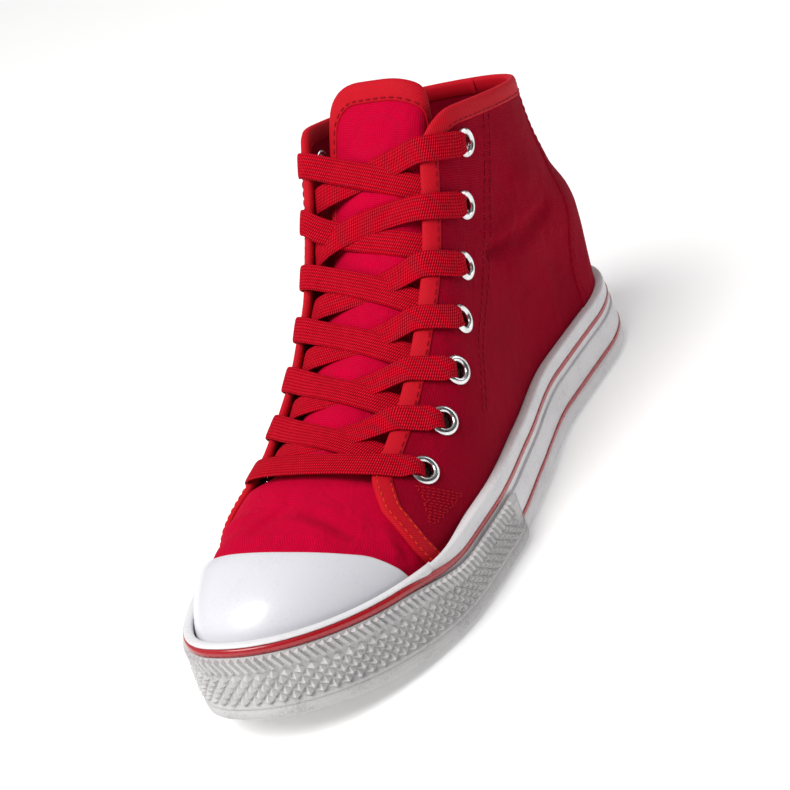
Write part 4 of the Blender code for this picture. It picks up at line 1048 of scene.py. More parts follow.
def stitches(name, seams, finish, spacing, length, thread):
    """Stitches along seams; each seam is its points and the outward directions there."""
    points, outs, edges = [], [], []
    for line, out in seams:
        first = len(points)
        points.extend(line)
        outs.extend(out)
        edges.extend((first + k, first + k + 1) for k in range(len(line) - 1))
    values = {"Spacing": spacing * MM, "Stitch Length": length * MM, "Thread": thread * MM}
    values["Finish"] = finish
    made = run_tree(point_object(name, points, edges, {"out": outs}), stitch_tree, values)
    made.data.shade_smooth()
    return made


def set_shapes(name, shape, points, outs, alongs, finish, flat=True):
    """A small shape on every point, after which the shape itself is thrown away."""
    made = point_object(name, points, [], {"out": outs, "along": alongs})
    run_tree(made, setting_tree, {"Shape": shape, "Size": 1.0, "Finish": finish})
    if flat:
        made.data.shade_flat()
    else:
        made.data.shade_smooth()
    discard(shape)
    return made


def fit(made, slot, *nodes, body="shoe"):
    """Hands a finished piece to its CAD body and hides the CAD nodes it stands for; slot is not used.
    """
    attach(made, body)
    if nodes:
        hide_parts(*nodes)
    made.data.calc_loop_triangles()
    print(f"{made.name}: {len(made.data.loop_triangles)} triangles")


print("ready to make pieces")


# %% [markdown]
# ## The quarters
# The two quarters are the walls of the shoe: cut canvas, sewn up the back, running forward over
# the vamp. A box with a fabric finish would be quick, but the shape of the last is the shoe, so
# each quarter is a sheet on the last with its eyelet holes, and the inner one with the zip's slot.

# %% Quarter sheets
QUARTER_RISE = 0.25
QUARTER_INNER = -1.75
FRONT_INNER = -0.8
QUARTER_ALONG = 190
QUARTER_DOWN = 112
EYELET_HOLE = 3.4
SLOT_EASE, SLOT_BOTTOM = 0.9, 52.2


def front_line(table, side):
    """The quarter's front edge as u against the share of the way down the slice."""
    rows = np.array(table)
    start = flap_line(rows[:, 0])
    share = (rows[:, 1] - start) / (reach(rows[:, 0], side) - start)
    share[0] = 0.0
    return curve_through(np.column_stack([share, rows[:, 0]]).tolist(), 1)


def make_quarter(name, table, side):
    """One quarter as a closed sheet of canvas."""
    down = np.linspace(0, 1, QUARTER_DOWN)
    forward = front_line(table, side)(down)
    even = np.linspace(0, 1, QUARTER_ALONG)
    along = np.sin(even * math.pi / 2) * 0.25 + even * 0.75
    u = forward + (1.0 - forward) * along[:, None]
    start = flap_edge(u)
    s = side * (start + (reach(u, side) - start) * down)
    rise = QUARTER_RISE + rest_of(u, s)
    inner = FRONT_INNER + (QUARTER_INNER - FRONT_INNER) * smooth((u - forward) / 0.05)
    outer_points = skin(u, s, rise)
    inner_points = skin(u, s, inner + rest_of(u, s))
    middle = (outer_points[:-1, :-1] + outer_points[1:, 1:]) / 2
    keep = np.ones(middle.shape[:2], bool)
    for eyelet in EYELET_POINTS:
        keep &= np.linalg.norm(middle - eyelet, axis=-1) > EYELET_HOLE
    if side == MEDIAL:
        x, z = middle[..., 0], middle[..., 2]
        beyond = (x <= slot_rear(z) - SLOT_EASE) | (x >= slot_front(z) + SLOT_EASE)
        keep &= beyond | (z <= SLOT_BOTTOM)
    if side == LATERAL:
        outer_points, inner_points, keep = outer_points[::-1], inner_points[::-1], keep[::-1]
    return shell(name, outer_points, inner_points, keep)


lateral_quarter = wear(make_quarter("lateral_quarter", LATERAL_FRONT, LATERAL), canvas, lining)
medial_quarter = wear(make_quarter("medial_quarter", MEDIAL_FRONT, MEDIAL), canvas, lining)
print("quarter faces:", len(lateral_quarter.data.polygons), len(medial_quarter.data.polygons))

# %% [markdown]
# ## Vamp and tongue
# The vamp covers the toes and runs under the quarters; the tongue goes on from it up the throat.
# They could be two pieces, but no seam shows between them, so one sheet sinks from the vamp's
# level to the tongue's. Between the lace crossings the padded tongue swells up a little.

# %% Vamp and tongue sheet
TONGUE_HALF = 26.0
TONGUE_SHIFT = 7.0
TONGUE_TOP = 1.076
TONGUE_SLANT = 0.008
VAMP_HALF = (
    (0.150, 90.0, 90.0), (0.200, 80.0, 66.0), (0.232, 70.0, 54.0), (0.264, 53.0, 45.0),
    (0.300, 44.0, 40.0), (0.335, 37.0, 35.0), (0.362, 32.0, 31.0), (0.400, 27.0, 27.0),
    (0.450, 26.0, 27.0), (0.800, 26.0, 28.5), (1.000, 29.0, 27.0), (1.100, 29.0, 27.0),
)
TONGUE_ROUND = 17.0
TONGUE_ROUND_OUTER = 27.0
PILLOW, PILLOW_EDGE = 2.1, 4.5


def tongue_shift(u):
    """How far the tongue has moved to the outer side, as the foot pushes it."""
    return TONGUE_SHIFT * smooth((u - 0.35) / 0.5)


def slanted(u, s):
    """The tongue's top edge slants: its u is lowered towards the outer side."""
    return u - TONGUE_SLANT * (1 + s / TONGUE_HALF) / 2 * smooth((u - 0.9) / 0.18)


def tongue_reach(u, side):
    """How far the sheet runs to one side: the vamp to the sole, the tongue to its own edge."""
    table = np.array(VAMP_HALF)
    half = np.interp(u, table[:, 0], table[:, 1 if side > 0 else 2])
    from_top = np.clip((TONGUE_TOP - u) * RIDGE_LENGTH, 0.0, None)
    corner = TONGUE_ROUND_OUTER if side > 0 else TONGUE_ROUND
    past = np.clip(corner - from_top, 0.0, corner)
    half = np.minimum(half, half - corner + np.sqrt(corner**2 - past**2))
    return np.minimum(half + side * tongue_shift(u), reach(u, side))


def tongue_rise(u, s):
    """How far over the last (-: under) the sheet's face lies."""
    moved = tongue_shift(u)
    throat = smooth((u - 0.335) / 0.07)
    sink = 2.9 + 5.5 * ((s - moved) / TONGUE_HALF) ** 2
    pressed = np.exp(-(((u - ROW_LOW_U) * RIDGE_LENGTH / PILLOW_EDGE) ** 2))
    for row in range(1, ROW_COUNT):
        for side in (LATERAL, MEDIAL):
            away = (u - strand_u(row, side, side * s)) * RIDGE_LENGTH
            pressed = np.maximum(pressed, np.exp(-((away / PILLOW_EDGE) ** 2)))
    padded = PILLOW * (1 - pressed) * np.exp(-(((s - moved / 2) / 15.0) ** 4))
    padded = padded * smooth((u - 0.36) / 0.03) * (1 - 0.75 * smooth((u - 0.93) / 0.05))
    return -0.9 * (1 - throat) + (padded - sink) * throat


def make_tongue():
    """The sheet from under the cap, over the toes and up past the collar."""
    along = np.concatenate([np.linspace(0.15, 0.45, 110)[:-1], np.linspace(0.45, TONGUE_TOP, 170)])
    share = np.linspace(-1, 1, 121)
    u = np.repeat(along[:, None], len(share), axis=1)
    right = tongue_reach(u, LATERAL)
    left = tongue_reach(u, MEDIAL)
    s = np.where(share > 0, right * share, left * share)
    u = slanted(u, s)
    rise = tongue_rise(u, s)
    folds = rest_of(u, s) * smooth((0.36 - u) / 0.03)
    outer = skin(u, s, rise + folds)
    inner = skin(u, s, rise + folds - 1.0 - 0.9 * smooth((u - 0.335) / 0.07))
    return shell("vamp_and_tongue", outer, inner)


vamp_and_tongue = wear(make_tongue(), lit_canvas, lining)
print("tongue top at", vamp_and_tongue.dimensions.z)

# %% [markdown]
# ## Bindings
# Raw canvas frays, so every free edge is wrapped in folded tape and stitched through. A bevel
# on the sheet's edge would be the short way. A section swept along the edge is better, since
# tape has its own width, thickness and ribs, and it can turn the corner into the zip's slot.

# %% Edge paths
SLOT_FOOT, COLLAR_GUESS = 53.0, 121.0


def slot_corner(slot_x, top_z, side):
    """Where a side of the zip's slot meets the collar, from a first height: its height and s."""
    for _ in range(6):
        corner_u = place_at(slot_x(top_z), top_z, side)[0, 0]
        top_z += (1.0 - corner_u) * 190.0
    return top_z, -place_at(slot_x(top_z), top_z, side)[0, 1]


def along_collar(start, end, count):
    """A stretch of the collar's edge as (u, s)."""
    s = np.linspace(start, end, count)[1:]
    return np.column_stack([np.ones(len(s)), s])


def edge_path(table, side):
    """A quarter's free edge: front edge, flap, collar, and on the inner side round the slot."""
    front = spaced(table[::-1])
    front = front[front[:, 1] < reach(front[:, 0], side) - 0.5]
    flap_u = np.linspace(0.372, 1.0 - 1e-6, 260)
    flap = np.column_stack([flap_u, flap_edge(flap_u)])
    collar_end = reach(1.0, side)
    if side == LATERAL:
        collar = along_collar(flap[-1, 1], collar_end, 120)
        return eased(spaced(np.concatenate([front, flap, collar])), 7)
    front_z, front_corner = slot_corner(slot_front, COLLAR_GUESS, side)
    rear_z, rear_corner = slot_corner(slot_rear, front_z, side)
    down = np.linspace(front_z, SLOT_FOOT, 110)
    turn = np.linspace(0, math.pi, 7)[1:-1]
    foot = place_at(16.25 + 0.65 * np.cos(turn), SLOT_FOOT - 0.65 * np.sin(turn), side)
    up = np.linspace(SLOT_FOOT, rear_z, 110)
    slot_parts = [place_at(slot_front(down), down, side), foot, place_at(slot_rear(up), up, side)]
    slot = np.concatenate(slot_parts) * (1.0, -1.0)
    collar = along_collar(flap[-1, 1], front_corner, 40)[:-1]
    rear = along_collar(rear_corner, collar_end, 60)
    path = spaced(np.concatenate([front, flap, collar, slot, rear]))
    path[:, 0] = np.minimum(path[:, 0], 1.0)
    return eased(path, 7) * (1.0, -1.0)


EDGES = {LATERAL: edge_path(LATERAL_FRONT, LATERAL), MEDIAL: edge_path(MEDIAL_FRONT, MEDIAL)}
print("edge paths:", len(EDGES[LATERAL]), len(EDGES[MEDIAL]), "mm long")

# %% Bindings along the edges
TAPE_SECTION = (
    (5.6, 0.20), (5.5, 0.72), (4.9, 0.80), (2.6, 0.92), (0.6, 0.90), (-0.3, 0.55), (-0.62, -0.25),
    (-0.62, -1.0), (-0.3, -1.65), (0.6, -2.05), (4.8, -2.05), (5.2, -1.70),
)
LABELS = {LATERAL: "lateral", MEDIAL: "medial"}
bindings = {}
for side, path in EDGES.items():
    below = 0.45 + 0.55 * np.clip((path[:, 0] - 0.30) / 0.10, 0.0, 1.0)
    binding = strip(f"{LABELS[side]}_binding", path, TAPE_SECTION, -side, rest_of, below)
    bindings[side] = wear(binding, binding_tape)
print("binding faces:", len(bindings[LATERAL].data.polygons))


# %% Tongue's edge
def tongue_edge():
    """The tongue's free edge, up one side, over the top and down the other."""
    u = np.concatenate([np.linspace(0.80, 1.0, 60), np.linspace(1.0, TONGUE_TOP - 0.0005, 90)])
    left = np.column_stack([u, -tongue_reach(u, MEDIAL)])
    right = np.column_stack([u, tongue_reach(u, LATERAL)])[::-1]
    top = np.linspace(left[-1, 1], right[0, 1], 30)[1:-1]
    path = np.concatenate([left, np.column_stack([np.full(len(top), TONGUE_TOP), top]), right])
    path[:, 0] = slanted(path[:, 0], path[:, 1])
    return eased(spaced(path), 7)


TONGUE_SECTION = (
    (6.6, -0.1), (6.5, 0.45), (5.8, 0.60), (3.0, 0.75), (0.6, 0.70), (-0.4, 0.30), (-0.7, -0.6),
    (-0.6, -1.5), (0.4, -2.3), (5.6, -2.3),
)
tongue_path = tongue_edge()
tongue_binding = strip("tongue_binding", tongue_path, TONGUE_SECTION, -1, tongue_rise)
wear(tongue_binding, binding_tape)
print("tongue edge:", len(tongue_path), "mm")

# %% [markdown]
# ## Heel stay
# A second layer of canvas is sewn over the back seam, narrow at the collar and wide at the sole.
# It could be painted on as a line, but a real overlay casts a small shadow along its edge.

# %% Heel stay sheets
STAY_EDGE = (
    (20.0, 8.6), (30.0, 7.4), (40.0, 6.6), (50.0, 3.6), (60.0, -0.2), (72.0, -3.2), (90.0, -3.9),
    (112.0, -4.0), (125.0, -4.0),
)
stay_x = curve_through(STAY_EDGE, 1)


def stay_line(side):
    """The stay's front edge as (u, s), from the sole to the collar."""
    z = np.linspace(22.0, 116.0, 60)
    line = place_at(stay_x(z), z, side)
    line = line[np.argsort(line[:, 0])]
    u = np.linspace(line[0, 0], 1.0, 110)
    return np.column_stack([u, np.interp(u, line[:, 0], line[:, 1])])


def make_stay(name, line, side):
    """One half of the stay, from its front edge to the back seam."""
    share = np.concatenate([np.linspace(0, 0.06, 4), np.linspace(0.06, 1, 40)[1:]])
    u = np.repeat(line[:, :1], len(share), axis=1)
    s = line[:, 1:] + (side * reach(u, side) - line[:, 1:]) * share
    lip = np.sqrt(np.clip(share / 0.04, 0.0, 1.0))
    rise = rest_of(u, s)
    return shell(name, skin(u, s, 0.3 + 0.45 * lip + rise), skin(u, s, 0.05 + rise))


STAY_LINES = {side: stay_line(side) for side in (LATERAL, MEDIAL)}
stays = {}
for side, line in STAY_LINES.items():
    stays[side] = wear(make_stay(f"{LABELS[side]}_heel_stay", line, side), canvas, lining)
print("stay edge from", STAY_LINES[LATERAL][0].round(3), "to", STAY_LINES[LATERAL][-1].round(3))

# %% [markdown]
# ## Stitching
# Lockstitches hold every layer: one row on each binding, two rows behind the eyelets, two along
# the stay, and orange thread where the quarter is sewn to the vamp. A bump map would lose them
# at the outline, so each seam is a line on the last, and the stitch tree lays real thread on it.

# %% Seam lines
def seam_on(path, rise, level=rest_of):
    """Points and outward directions of a seam that lies at a rise over the cloth."""
    u, s = spaced(path).T
    return skin(u, s, rise + level(u, s)), outward(u, s)


def inset_seam(path, inset, hand, rise, first=0, last=None, level=rest_of):
    """A seam at an inset from an edge path."""
    return seam_on(beside(path, [inset], hand)[0][first:last], rise, level)


FACING_FRONT = (
    (0.972, 53.6), (0.90, 53.4), (0.80, 53.0), (0.70, 52.4), (0.63, 52.0), (0.579, 53.3),
    (0.535, 55.2), (0.500, 57.2),
)
FACING_REAR = (
    (0.972, 57.2), (0.90, 57.0), (0.80, 56.8), (0.70, 56.2), (0.63, 55.4), (0.579, 56.2),
    (0.535, 58.0), (0.505, 59.6),
)
FACING_MEDIAL = (
    (0.972, -50.2), (0.898, -50.2), (0.84, -52.0), (0.779, -54.7), (0.68, -58.0),
    (0.598, -61.3), (0.54, -64.5),
)


def facing(table, move=0.0):
    """A smooth line through a table of (u, s)."""
    rows = np.array(table)[::-1]
    u = np.linspace(rows[0, 0], rows[-1, 0], 160)
    return np.column_stack([u, curve_through(rows.tolist(), 1)(u) + move])


PATCH_ROWS = 12
PATCH_FRONT = (0.285, 0.345)
PATCH_LEFT = (50.0, 40.5)
PATCH_RIGHT = (52.5, 58.5)
patch = []
for row, share in enumerate(np.linspace(0, 1, PATCH_ROWS)):
    corners = [np.interp(share, (0, 1), ends) for ends in (PATCH_LEFT, PATCH_RIGHT)]
    u = np.interp(share, (0, 1), PATCH_FRONT)
    patch += [(u, s) for s in (corners if row % 2 == 0 else corners[::-1])]
ON_TAPE, ON_TAPE_EDGE, ON_CANVAS = 0.86, 0.95, 0.32
FRONT_STEPS = 36
red_seams = [
    inset_seam(EDGES[LATERAL], 4.7, MEDIAL, ON_TAPE, FRONT_STEPS),
    inset_seam(EDGES[MEDIAL], 4.7, LATERAL, ON_TAPE, FRONT_STEPS),
    seam_on(facing(FACING_FRONT), ON_CANVAS),
    seam_on(facing(FACING_REAR), 0.32),
    inset_seam(tongue_path, 5.6, -1, 0.72, 4, -4, tongue_rise),
    seam_on(facing(FACING_MEDIAL), ON_CANVAS),
    seam_on(facing(FACING_MEDIAL, -3.0), ON_CANVAS),
]
orange_seams = []
for side in (LATERAL, MEDIAL):
    for inset in (1.6, 4.4):
        red_seams.append(inset_seam(STAY_LINES[side], inset, -side, 0.7, 4, -6))
    orange_seams.append(inset_seam(EDGES[side], 0.9, -side, ON_TAPE_EDGE, 2, FRONT_STEPS + 4))
    orange_seams.append(inset_seam(EDGES[side], 4.7, -side, ON_TAPE, 2, FRONT_STEPS))
red_thread = stitches("red_stitching", red_seams, thread_red, 3.0, 2.3, 0.55)
orange_thread = stitches("orange_stitching", orange_seams, thread_orange, 2.3, 1.8, 0.5)
patch_thread = stitches("patch_stitching", [seam_on(patch, 0.3)], binding_tape, 1.9, 1.7, 0.55)
print("stitch faces:", len(red_thread.data.polygons), len(orange_thread.data.polygons))

# %% [markdown]
# ## Eyelets
# An eyelet is a stamped brass tube whose rim is rolled over the cloth. Fourteen of them could be
# copied by hand. One is turned here from its profile, and the setting tree puts it on every
# place of the lacing, square to the flap.

# %% Eyelets
def turned(name, profile, steps):
    """A closed profile of (radius, height) turned round Z, as a shape for the setting tree."""
    angles = np.linspace(0, 2 * math.pi, steps, endpoint=False)
    sections = [[(r * math.cos(a), r * math.sin(a), h) for r, h in profile] for a in angles]
    return tube(name, sections, True)


EYELET_PROFILE = (
    (5.0, 0.10), (4.95, 0.45), (4.6, 0.85), (4.0, 1.15), (3.4, 1.15), (2.95, 0.90), (2.7, 0.40),
    (2.7, -1.9), (3.1, -2.3), (4.2, -2.35), (4.3, -2.15), (3.3, -2.0), (3.05, -1.5), (3.05, 0.1),
)
eyelet_shape = turned("eyelet_shape", EYELET_PROFILE, 28)
eyelet_u, eyelet_s = EYELET_PLACES.T
eyelet_at = skin(eyelet_u, eyelet_s, np.full(len(eyelet_u), 0.2))
eyelet_set = (eyelet_at, outward(eyelet_u, eyelet_s), slopes(eyelet_u, eyelet_s)[0])
eyelets = set_shapes("eyelets", eyelet_shape, *eyelet_set, nickel, flat=False)
print("eyelet faces:", len(eyelets.data.polygons))

# %% [markdown]
# ## Laces
# The lace is one flat braid that crosses the tongue six times. It leaves each eyelet on top,
# lies over the flap, crosses, and goes under the other flap to the next eyelet. A cloth or rope
# simulation isn't needed for a lace that is pulled tight: each strand is swept along its own
# line over the last, 8.6 mm wide on the flap and gathered to fit the eyelet.

# %% Strands
LACE_HALF = 4.3
LACE_HALF_THICK = 0.7
OVER_ON_TOP = {1: MEDIAL, 2: LATERAL, 3: MEDIAL, 4: MEDIAL, 5: MEDIAL, 6: MEDIAL}
GATHERED_HALF = 2.5


def sweep_lace(name, u, s, rise, flat, spread, tilt):
    """A strand through places on the last: flat and spread run from 0 in an eyelet to 1."""
    widths = GATHERED_HALF + (LACE_HALF - GATHERED_HALF) * spread
    curls = 1.5 * (1 - flat) + 0.12
    centres = skin(u, s, rise)
    normal = outward(u, s)
    across = unit(np.cross(normal, unit(np.gradient(on_last(u, s), axis=0))))
    up = unit(np.cross(unit(np.gradient(centres, axis=0)), across))
    up = up * np.sign((up * normal).sum(axis=-1) + 1e-3)[:, None]
    sections = []
    for k, centre in enumerate(centres):
        c, d = math.cos(tilt[k]), math.sin(tilt[k])
        side_way = across[k] * c + up[k] * d
        up_way = up[k] * c - across[k] * d
        section = []
        for a, b in boxy_ring(14, widths[k], LACE_HALF_THICK, 0.62, 0.8):
            section.append(centre + side_way * a + up_way * (b + curls[k] * (a * a) / 16.0))
        sections.append(section)
    return tube(name, sections)


def flap_knots(start):
    """How high a strand lies from its eyelet's hole to the middle of the flap."""
    knots = ((0.0, -2.2), (0.5, 0.4), (2.6, 1.95), (4.6, 2.05), (7.5, 1.35))
    return [(start - away, rise) for away, rise in knots]


def make_strand(row, side):
    """From an eyelet over its flap, across the tongue and under the other flap to an eyelet."""
    high, low = row_u(row), row_u(row + 1)
    start, end = eyelet_line(high), -eyelet_line(low)
    edge, far = throat_edges(high, low)
    s = start + (end - start) * np.linspace(0, 1, 130)
    u = softened(strand_u(row, side, s), 17)
    knots = (
        *flap_knots(start),
        (edge + 3.0, 1.75), (edge + 1.2, 1.8), (edge - 3.0, 0.5), (edge - 9.0, -0.95),
        (0.0, -1.55), (far + 9.0, -1.9), (far + 2.0, -2.9), (far - 4.0, -3.7), (end + 5.0, -3.7),
        (end + 0.6, -3.0), (end, -2.4),
    )
    rise = np.interp(s, *np.array(knots)[::-1].T)
    middle = side * (2 * CROSS_AT[row] - 1) * flap_line(low)
    cross = np.exp(-(((s - middle) / 10.0) ** 2))
    rise = softened(rise, 11) + (0.66 if OVER_ON_TOP[row] == side else -0.62) * cross
    flat = smooth((abs(s - start) - 1.0) / 5.0)
    spread = np.minimum(flat, smooth((abs(s - end) - 1.0) / 6.0))
    wave = 0.05 * np.sin(s / 5.0 + row * 1.7 + side)
    name = f"lace_{LABELS[side]}_{row}"
    return sweep_lace(name, u, side * s, rise, flat, spread, wave * side)


def make_bar():
    """The lowest lace, straight across from eyelet to eyelet."""
    start = eyelet_line(ROW_LOW_U)
    s = np.linspace(start, -start, 120)
    knots = ((0.0, 1.35), (start - 14.0, 1.45), *flap_knots(start)[::-1])
    rise = softened(np.interp(abs(s), *np.array(knots).T), 11)
    flat = smooth((start - abs(s) - 1.5) / 7.0)
    u = np.full(len(s), ROW_LOW_U)
    return sweep_lace("lace_bar_strand", u, s, rise, flat, flat, np.zeros(len(s)))


strands = {}
for row in range(1, ROW_COUNT):
    for side in (LATERAL, MEDIAL):
        strands[row, side] = wear(make_strand(row, side), lace_braid)
bar = wear(make_bar(), lace_braid)
print("strands:", len(strands) + 1)

# %% [markdown]
# ## The sole
# The sole is vulcanised: an outsole, a rubber foxing band wrapped round it and the upper's foot,
# red stripes laid on the band, and at the toe a bead, a bumper strip and the cap. Each could be
# cut from one block, but swept sections keep the steps and grooves between the layers.

# %% Outline and sweeps
OUTLINE_STEPS = 170
FOXING_TOP = 25.0
GAP = 0.35


def outline():
    """The feather line's plan: stations, points and outward directions, all round."""
    middle, radius = (LAST_TIP + LAST_REAR) / 2, (LAST_TIP - LAST_REAR) / 2
    x = middle + radius * np.cos(np.linspace(0, math.pi, OUTLINE_STEPS + 1))
    z = feather(x)
    lateral = np.column_stack([x, plan_centre(x) + half_width(LATERAL, x, z)])
    medial = np.column_stack([x, plan_centre(x) - half_width(MEDIAL, x, z)])
    points = np.concatenate([lateral, medial[-2:0:-1]])
    chord = np.roll(points, -1, axis=0) - np.roll(points, 1, axis=0)
    normals = unit(np.column_stack([chord[:, 1], -chord[:, 0]]))
    return points[:, 0], points, normals


STATIONS, PLAN_POINTS, PLAN_OUT = outline()
HALF_X = STATIONS[: OUTLINE_STEPS + 1]


def toe_room(x):
    """How far outside the last the foxing's inner face stands."""
    return 0.6 + 2.0 * smooth((x - 140.0) / 26.0)


def foxing_out(x, z):
    """The foxing's outer face, leaning out a little towards the ground."""
    low = ground(x)
    share = np.clip((z - low) / (FOXING_TOP + spring(x) - low), 0.0, 1.0)
    return 4.6 - 0.9 * share


def sweep(name, profile, first=None, last=None, ends=None):
    """Sweeps a closed profile (distance out, height) round the outline, or along part of it."""
    closed = last is None
    order = np.arange(len(STATIONS)) if closed else np.arange(first, last + 1)
    sections = []
    for position, k in enumerate(order % len(STATIONS)):
        rows = profile(STATIONS[k])
        if ends is not None:
            share = min(position, len(order) - 1 - position) / ends
            rows = shrunk(rows, share)
        sections.append([(*(PLAN_POINTS[k] + PLAN_OUT[k] * out), z) for out, z in rows])
    return tube(name, sections, closed)


def shrunk(rows, share):
    """A section drawn in towards its inner face, for the rounded end of a strip."""
    factor = math.sqrt(max(1 - (1 - min(share, 1.0)) ** 2, 0.02))
    inner = min(out for out, _ in rows)
    middle = sum(z for _, z in rows) / len(rows)
    tall = 0.7 + 0.3 * factor
    return [(inner + (out - inner) * factor, middle + (z - middle) * tall) for out, z in rows]


def span(lateral_x, medial_x):
    """Outline steps from a medial station, round the toe tip, to a lateral one."""
    lateral = int(np.argmin(abs(HALF_X - lateral_x)))
    medial = int(np.argmin(abs(HALF_X - medial_x)))
    return -medial, lateral


print("outline:", len(STATIONS), "stations")

# %% Foxing
# Height at which the band's lean is read, how proud of it the face stands, height of the point.
FOXING_FACE = (
    (25.0, -0.9, 25.0), (25.0, -0.35, 24.88), (25.0, -0.05, 24.5), (24.0, 0.0, 23.9),
    (20.6, 0.0, 20.5), (17.0, 0.0, 16.75), (17.0, -0.15, 16.6), (16.5, -0.75, 16.5),
    (16.5, -0.75, 16.0), (16.0, 0.35, 15.85), (16.0, 0.6, 15.5), (12.0, 0.65, 12.0),
)


def foxing_section(x):
    """The band: rolled top edge, a groove, and a lower strip that stands a little proud."""
    up = spring(x)
    low = ground(x) + 0.8
    high = FOXING_TOP + up
    inner = toe_room(x) - 0.5
    waist = low - 0.8 - up

    def out(z):
        return foxing_out(x, z + up)

    return [
        (inner + 0.9, low), (inner + 0.5, high - 4.0), (inner, high - 0.5),
        (inner + 0.25, high - 0.1), (inner + 0.7, high),
        *((out(at) + proud, z + up) for at, proud, z in FOXING_FACE),
        (out(8.2) + 0.65, 8.1 + up + waist * 0.4), (out(8.0) + 0.5, 7.95 + up + waist * 0.4),
        (out(6.0) + 0.5, 6.05 + up + waist * 0.5), (out(5.8) + 0.65, 5.9 + up + waist * 0.5),
        (out(2.0) + 0.7, low + 1.0), (out(1.0) + 0.5, low + 0.3), (out(1.0) - 0.1, low),
    ]


foxing = wear(sweep("foxing_band", foxing_section), foxing_rubber)
print("foxing faces:", len(foxing.data.polygons))

# %% Red stripes
def toe_rise(x):
    """0 along the sides, 1 round the toe, where the bumper is taller and the bead narrower."""
    return smooth((x - 152.0) / 34.0)


def bumper_top(x):
    """The height of the bumper's top edge."""
    return FOXING_TOP - 7.6 + 4.8 * toe_rise(x) + spring(x)


def stripe_rows(out, low, high, edge, shoulder, face):
    """A stripe's section: how proud its edges, its shoulders and its face are."""
    half = [(out - 0.4, low), (out + edge, low), (out + shoulder, low + 0.25)]
    mirrored = [(a, low + high - z) for a, z in half[::-1]]
    return [*half, (out + face, (low + high) / 2), *mirrored]


def upper_stripe_section(x):
    """The stripe over the bumper, taller and prouder round the toe."""
    toe = toe_rise(x)
    low = bumper_top(x) + 1.1 * (1 - toe) + 0.1
    high = low + 1.7 + 0.9 * toe
    proud = 0.35 + 1.4 * toe
    out = foxing_out(x, (low + high) / 2)
    return stripe_rows(out, low, high, proud * 0.55, proud * 0.9, proud)


def lower_stripe_section(x):
    """The stripe low on the band, behind the bumper."""
    up = spring(x)
    waist = ground(x) - up
    low = 6.2 + up + waist * 0.5
    high = 7.8 + up + waist * 0.4
    return stripe_rows(foxing_out(x, low) + 0.5, low, high, 0.2, 0.38, 0.42)


BUMPER_LATERAL_X, BUMPER_MEDIAL_X = 116.0, 140.0
stripe_upper = wear(sweep("upper_stripe", upper_stripe_section), stripe_rubber)
bumper_first, bumper_last = span(BUMPER_LATERAL_X, BUMPER_MEDIAL_X)
behind_bumper = (bumper_last - 1, len(STATIONS) + bumper_first + 1)
stripe_lower = wear(sweep("lower_stripe", lower_stripe_section, *behind_bumper), stripe_rubber)
print("stripes made")

# %% Toe bead
def bead_section(x):
    """A rounded strip on the foxing's top edge, over the cap's foot."""
    toe = toe_rise(x)
    high = FOXING_TOP + spring(x) + 0.3 + 0.7 * toe
    low = bumper_top(x) + 2.2 + 0.5 * toe
    tall = high - low
    inner = foxing_out(x, high) + 0.1
    return [
        (inner - 0.5, low), (inner - 1.9, high - 1.0), (inner - 1.7, high - 0.35),
        (inner - 0.9, high), (inner, high - 0.02), (inner + 0.6, high - 0.14 * tall),
        (inner + 0.95, high - 0.3 * tall), (inner + 1.05, high - 0.5 * tall),
        (inner + 1.05, high - 0.75 * tall), (inner + 0.98, low + 0.2), (inner + 0.7, low),
    ]


bead_first, bead_last = span(170.0, 172.5)
toe_bead = wear(sweep("toe_bead_strip", bead_section, bead_first, bead_last, 3), foxing_rubber)
print("bead faces:", len(toe_bead.data.polygons))

# %% [markdown]
# ### Bumper
# The bumper's face carries slanted ribs over five rows of small pyramids. A displacement
# texture would need millions of faces to be as crisp. The pyramids and ribs are a few faces
# each, set along the band by the setting tree.

# %% Bumper band
STUDS_LOW = 6.2
BUMPER_LIP = (
    (STUDS_LOW, 0.0, STUDS_LOW), (5.9, 0.6, 5.85), (4.6, 0.8, 4.8), (4.5, 0.55, 4.6),
    (4.3, 0.8, 4.4), (3.0, 0.9, 3.0),
)


def bumper_out(x, z):
    """The bumper band's face, under its ribs."""
    return foxing_out(x, z) + GAP + 1.05


def bumper_section(x):
    """The band: flat behind the ribs, fuller at its lip, which is set out as the foxing's face."""
    up = spring(x)
    low = ground(x) + 1.0
    high = bumper_top(x)
    rolled = high - 0.28 * (high - STUDS_LOW - up)
    return [
        (foxing_out(x, low) + 0.2, low), (foxing_out(x, low) + 0.2, high - 0.05),
        (bumper_out(x, high) - 0.2, high), (bumper_out(x, high), high - 0.3),
        (bumper_out(x, rolled), rolled + 0.25), (bumper_out(x, rolled) + 0.3, rolled),
        (bumper_out(x, rolled), rolled - 0.25),
        *((bumper_out(x, at + up) + proud, z + up) for at, proud, z in BUMPER_LIP),
        (bumper_out(x, 2.0 + up) + 0.7, low + 0.5), (bumper_out(x, 1.4 + up) + 0.1, low),
    ]


bumper = wear(sweep("bumper_band", bumper_section, bumper_first, bumper_last, 3), shaded_bumper_rubber)
print("bumper faces:", len(bumper.data.polygons))


# %% Pyramids and ribs on the bumper
def faceted(name, base, top, lift):
    """A small stud from two outlines, the second lifted over the first."""
    points = [(x, y, -0.15) for x, y in base] + [(x, y, lift) for x, y in top]
    count = len(base)
    faces = [list(range(count))[::-1], list(range(count, 2 * count))]
    faces += [[k, (k + 1) % count, count + (k + 1) % count, count + k] for k in range(count)]
    return face_out(new_object(name, points, faces))


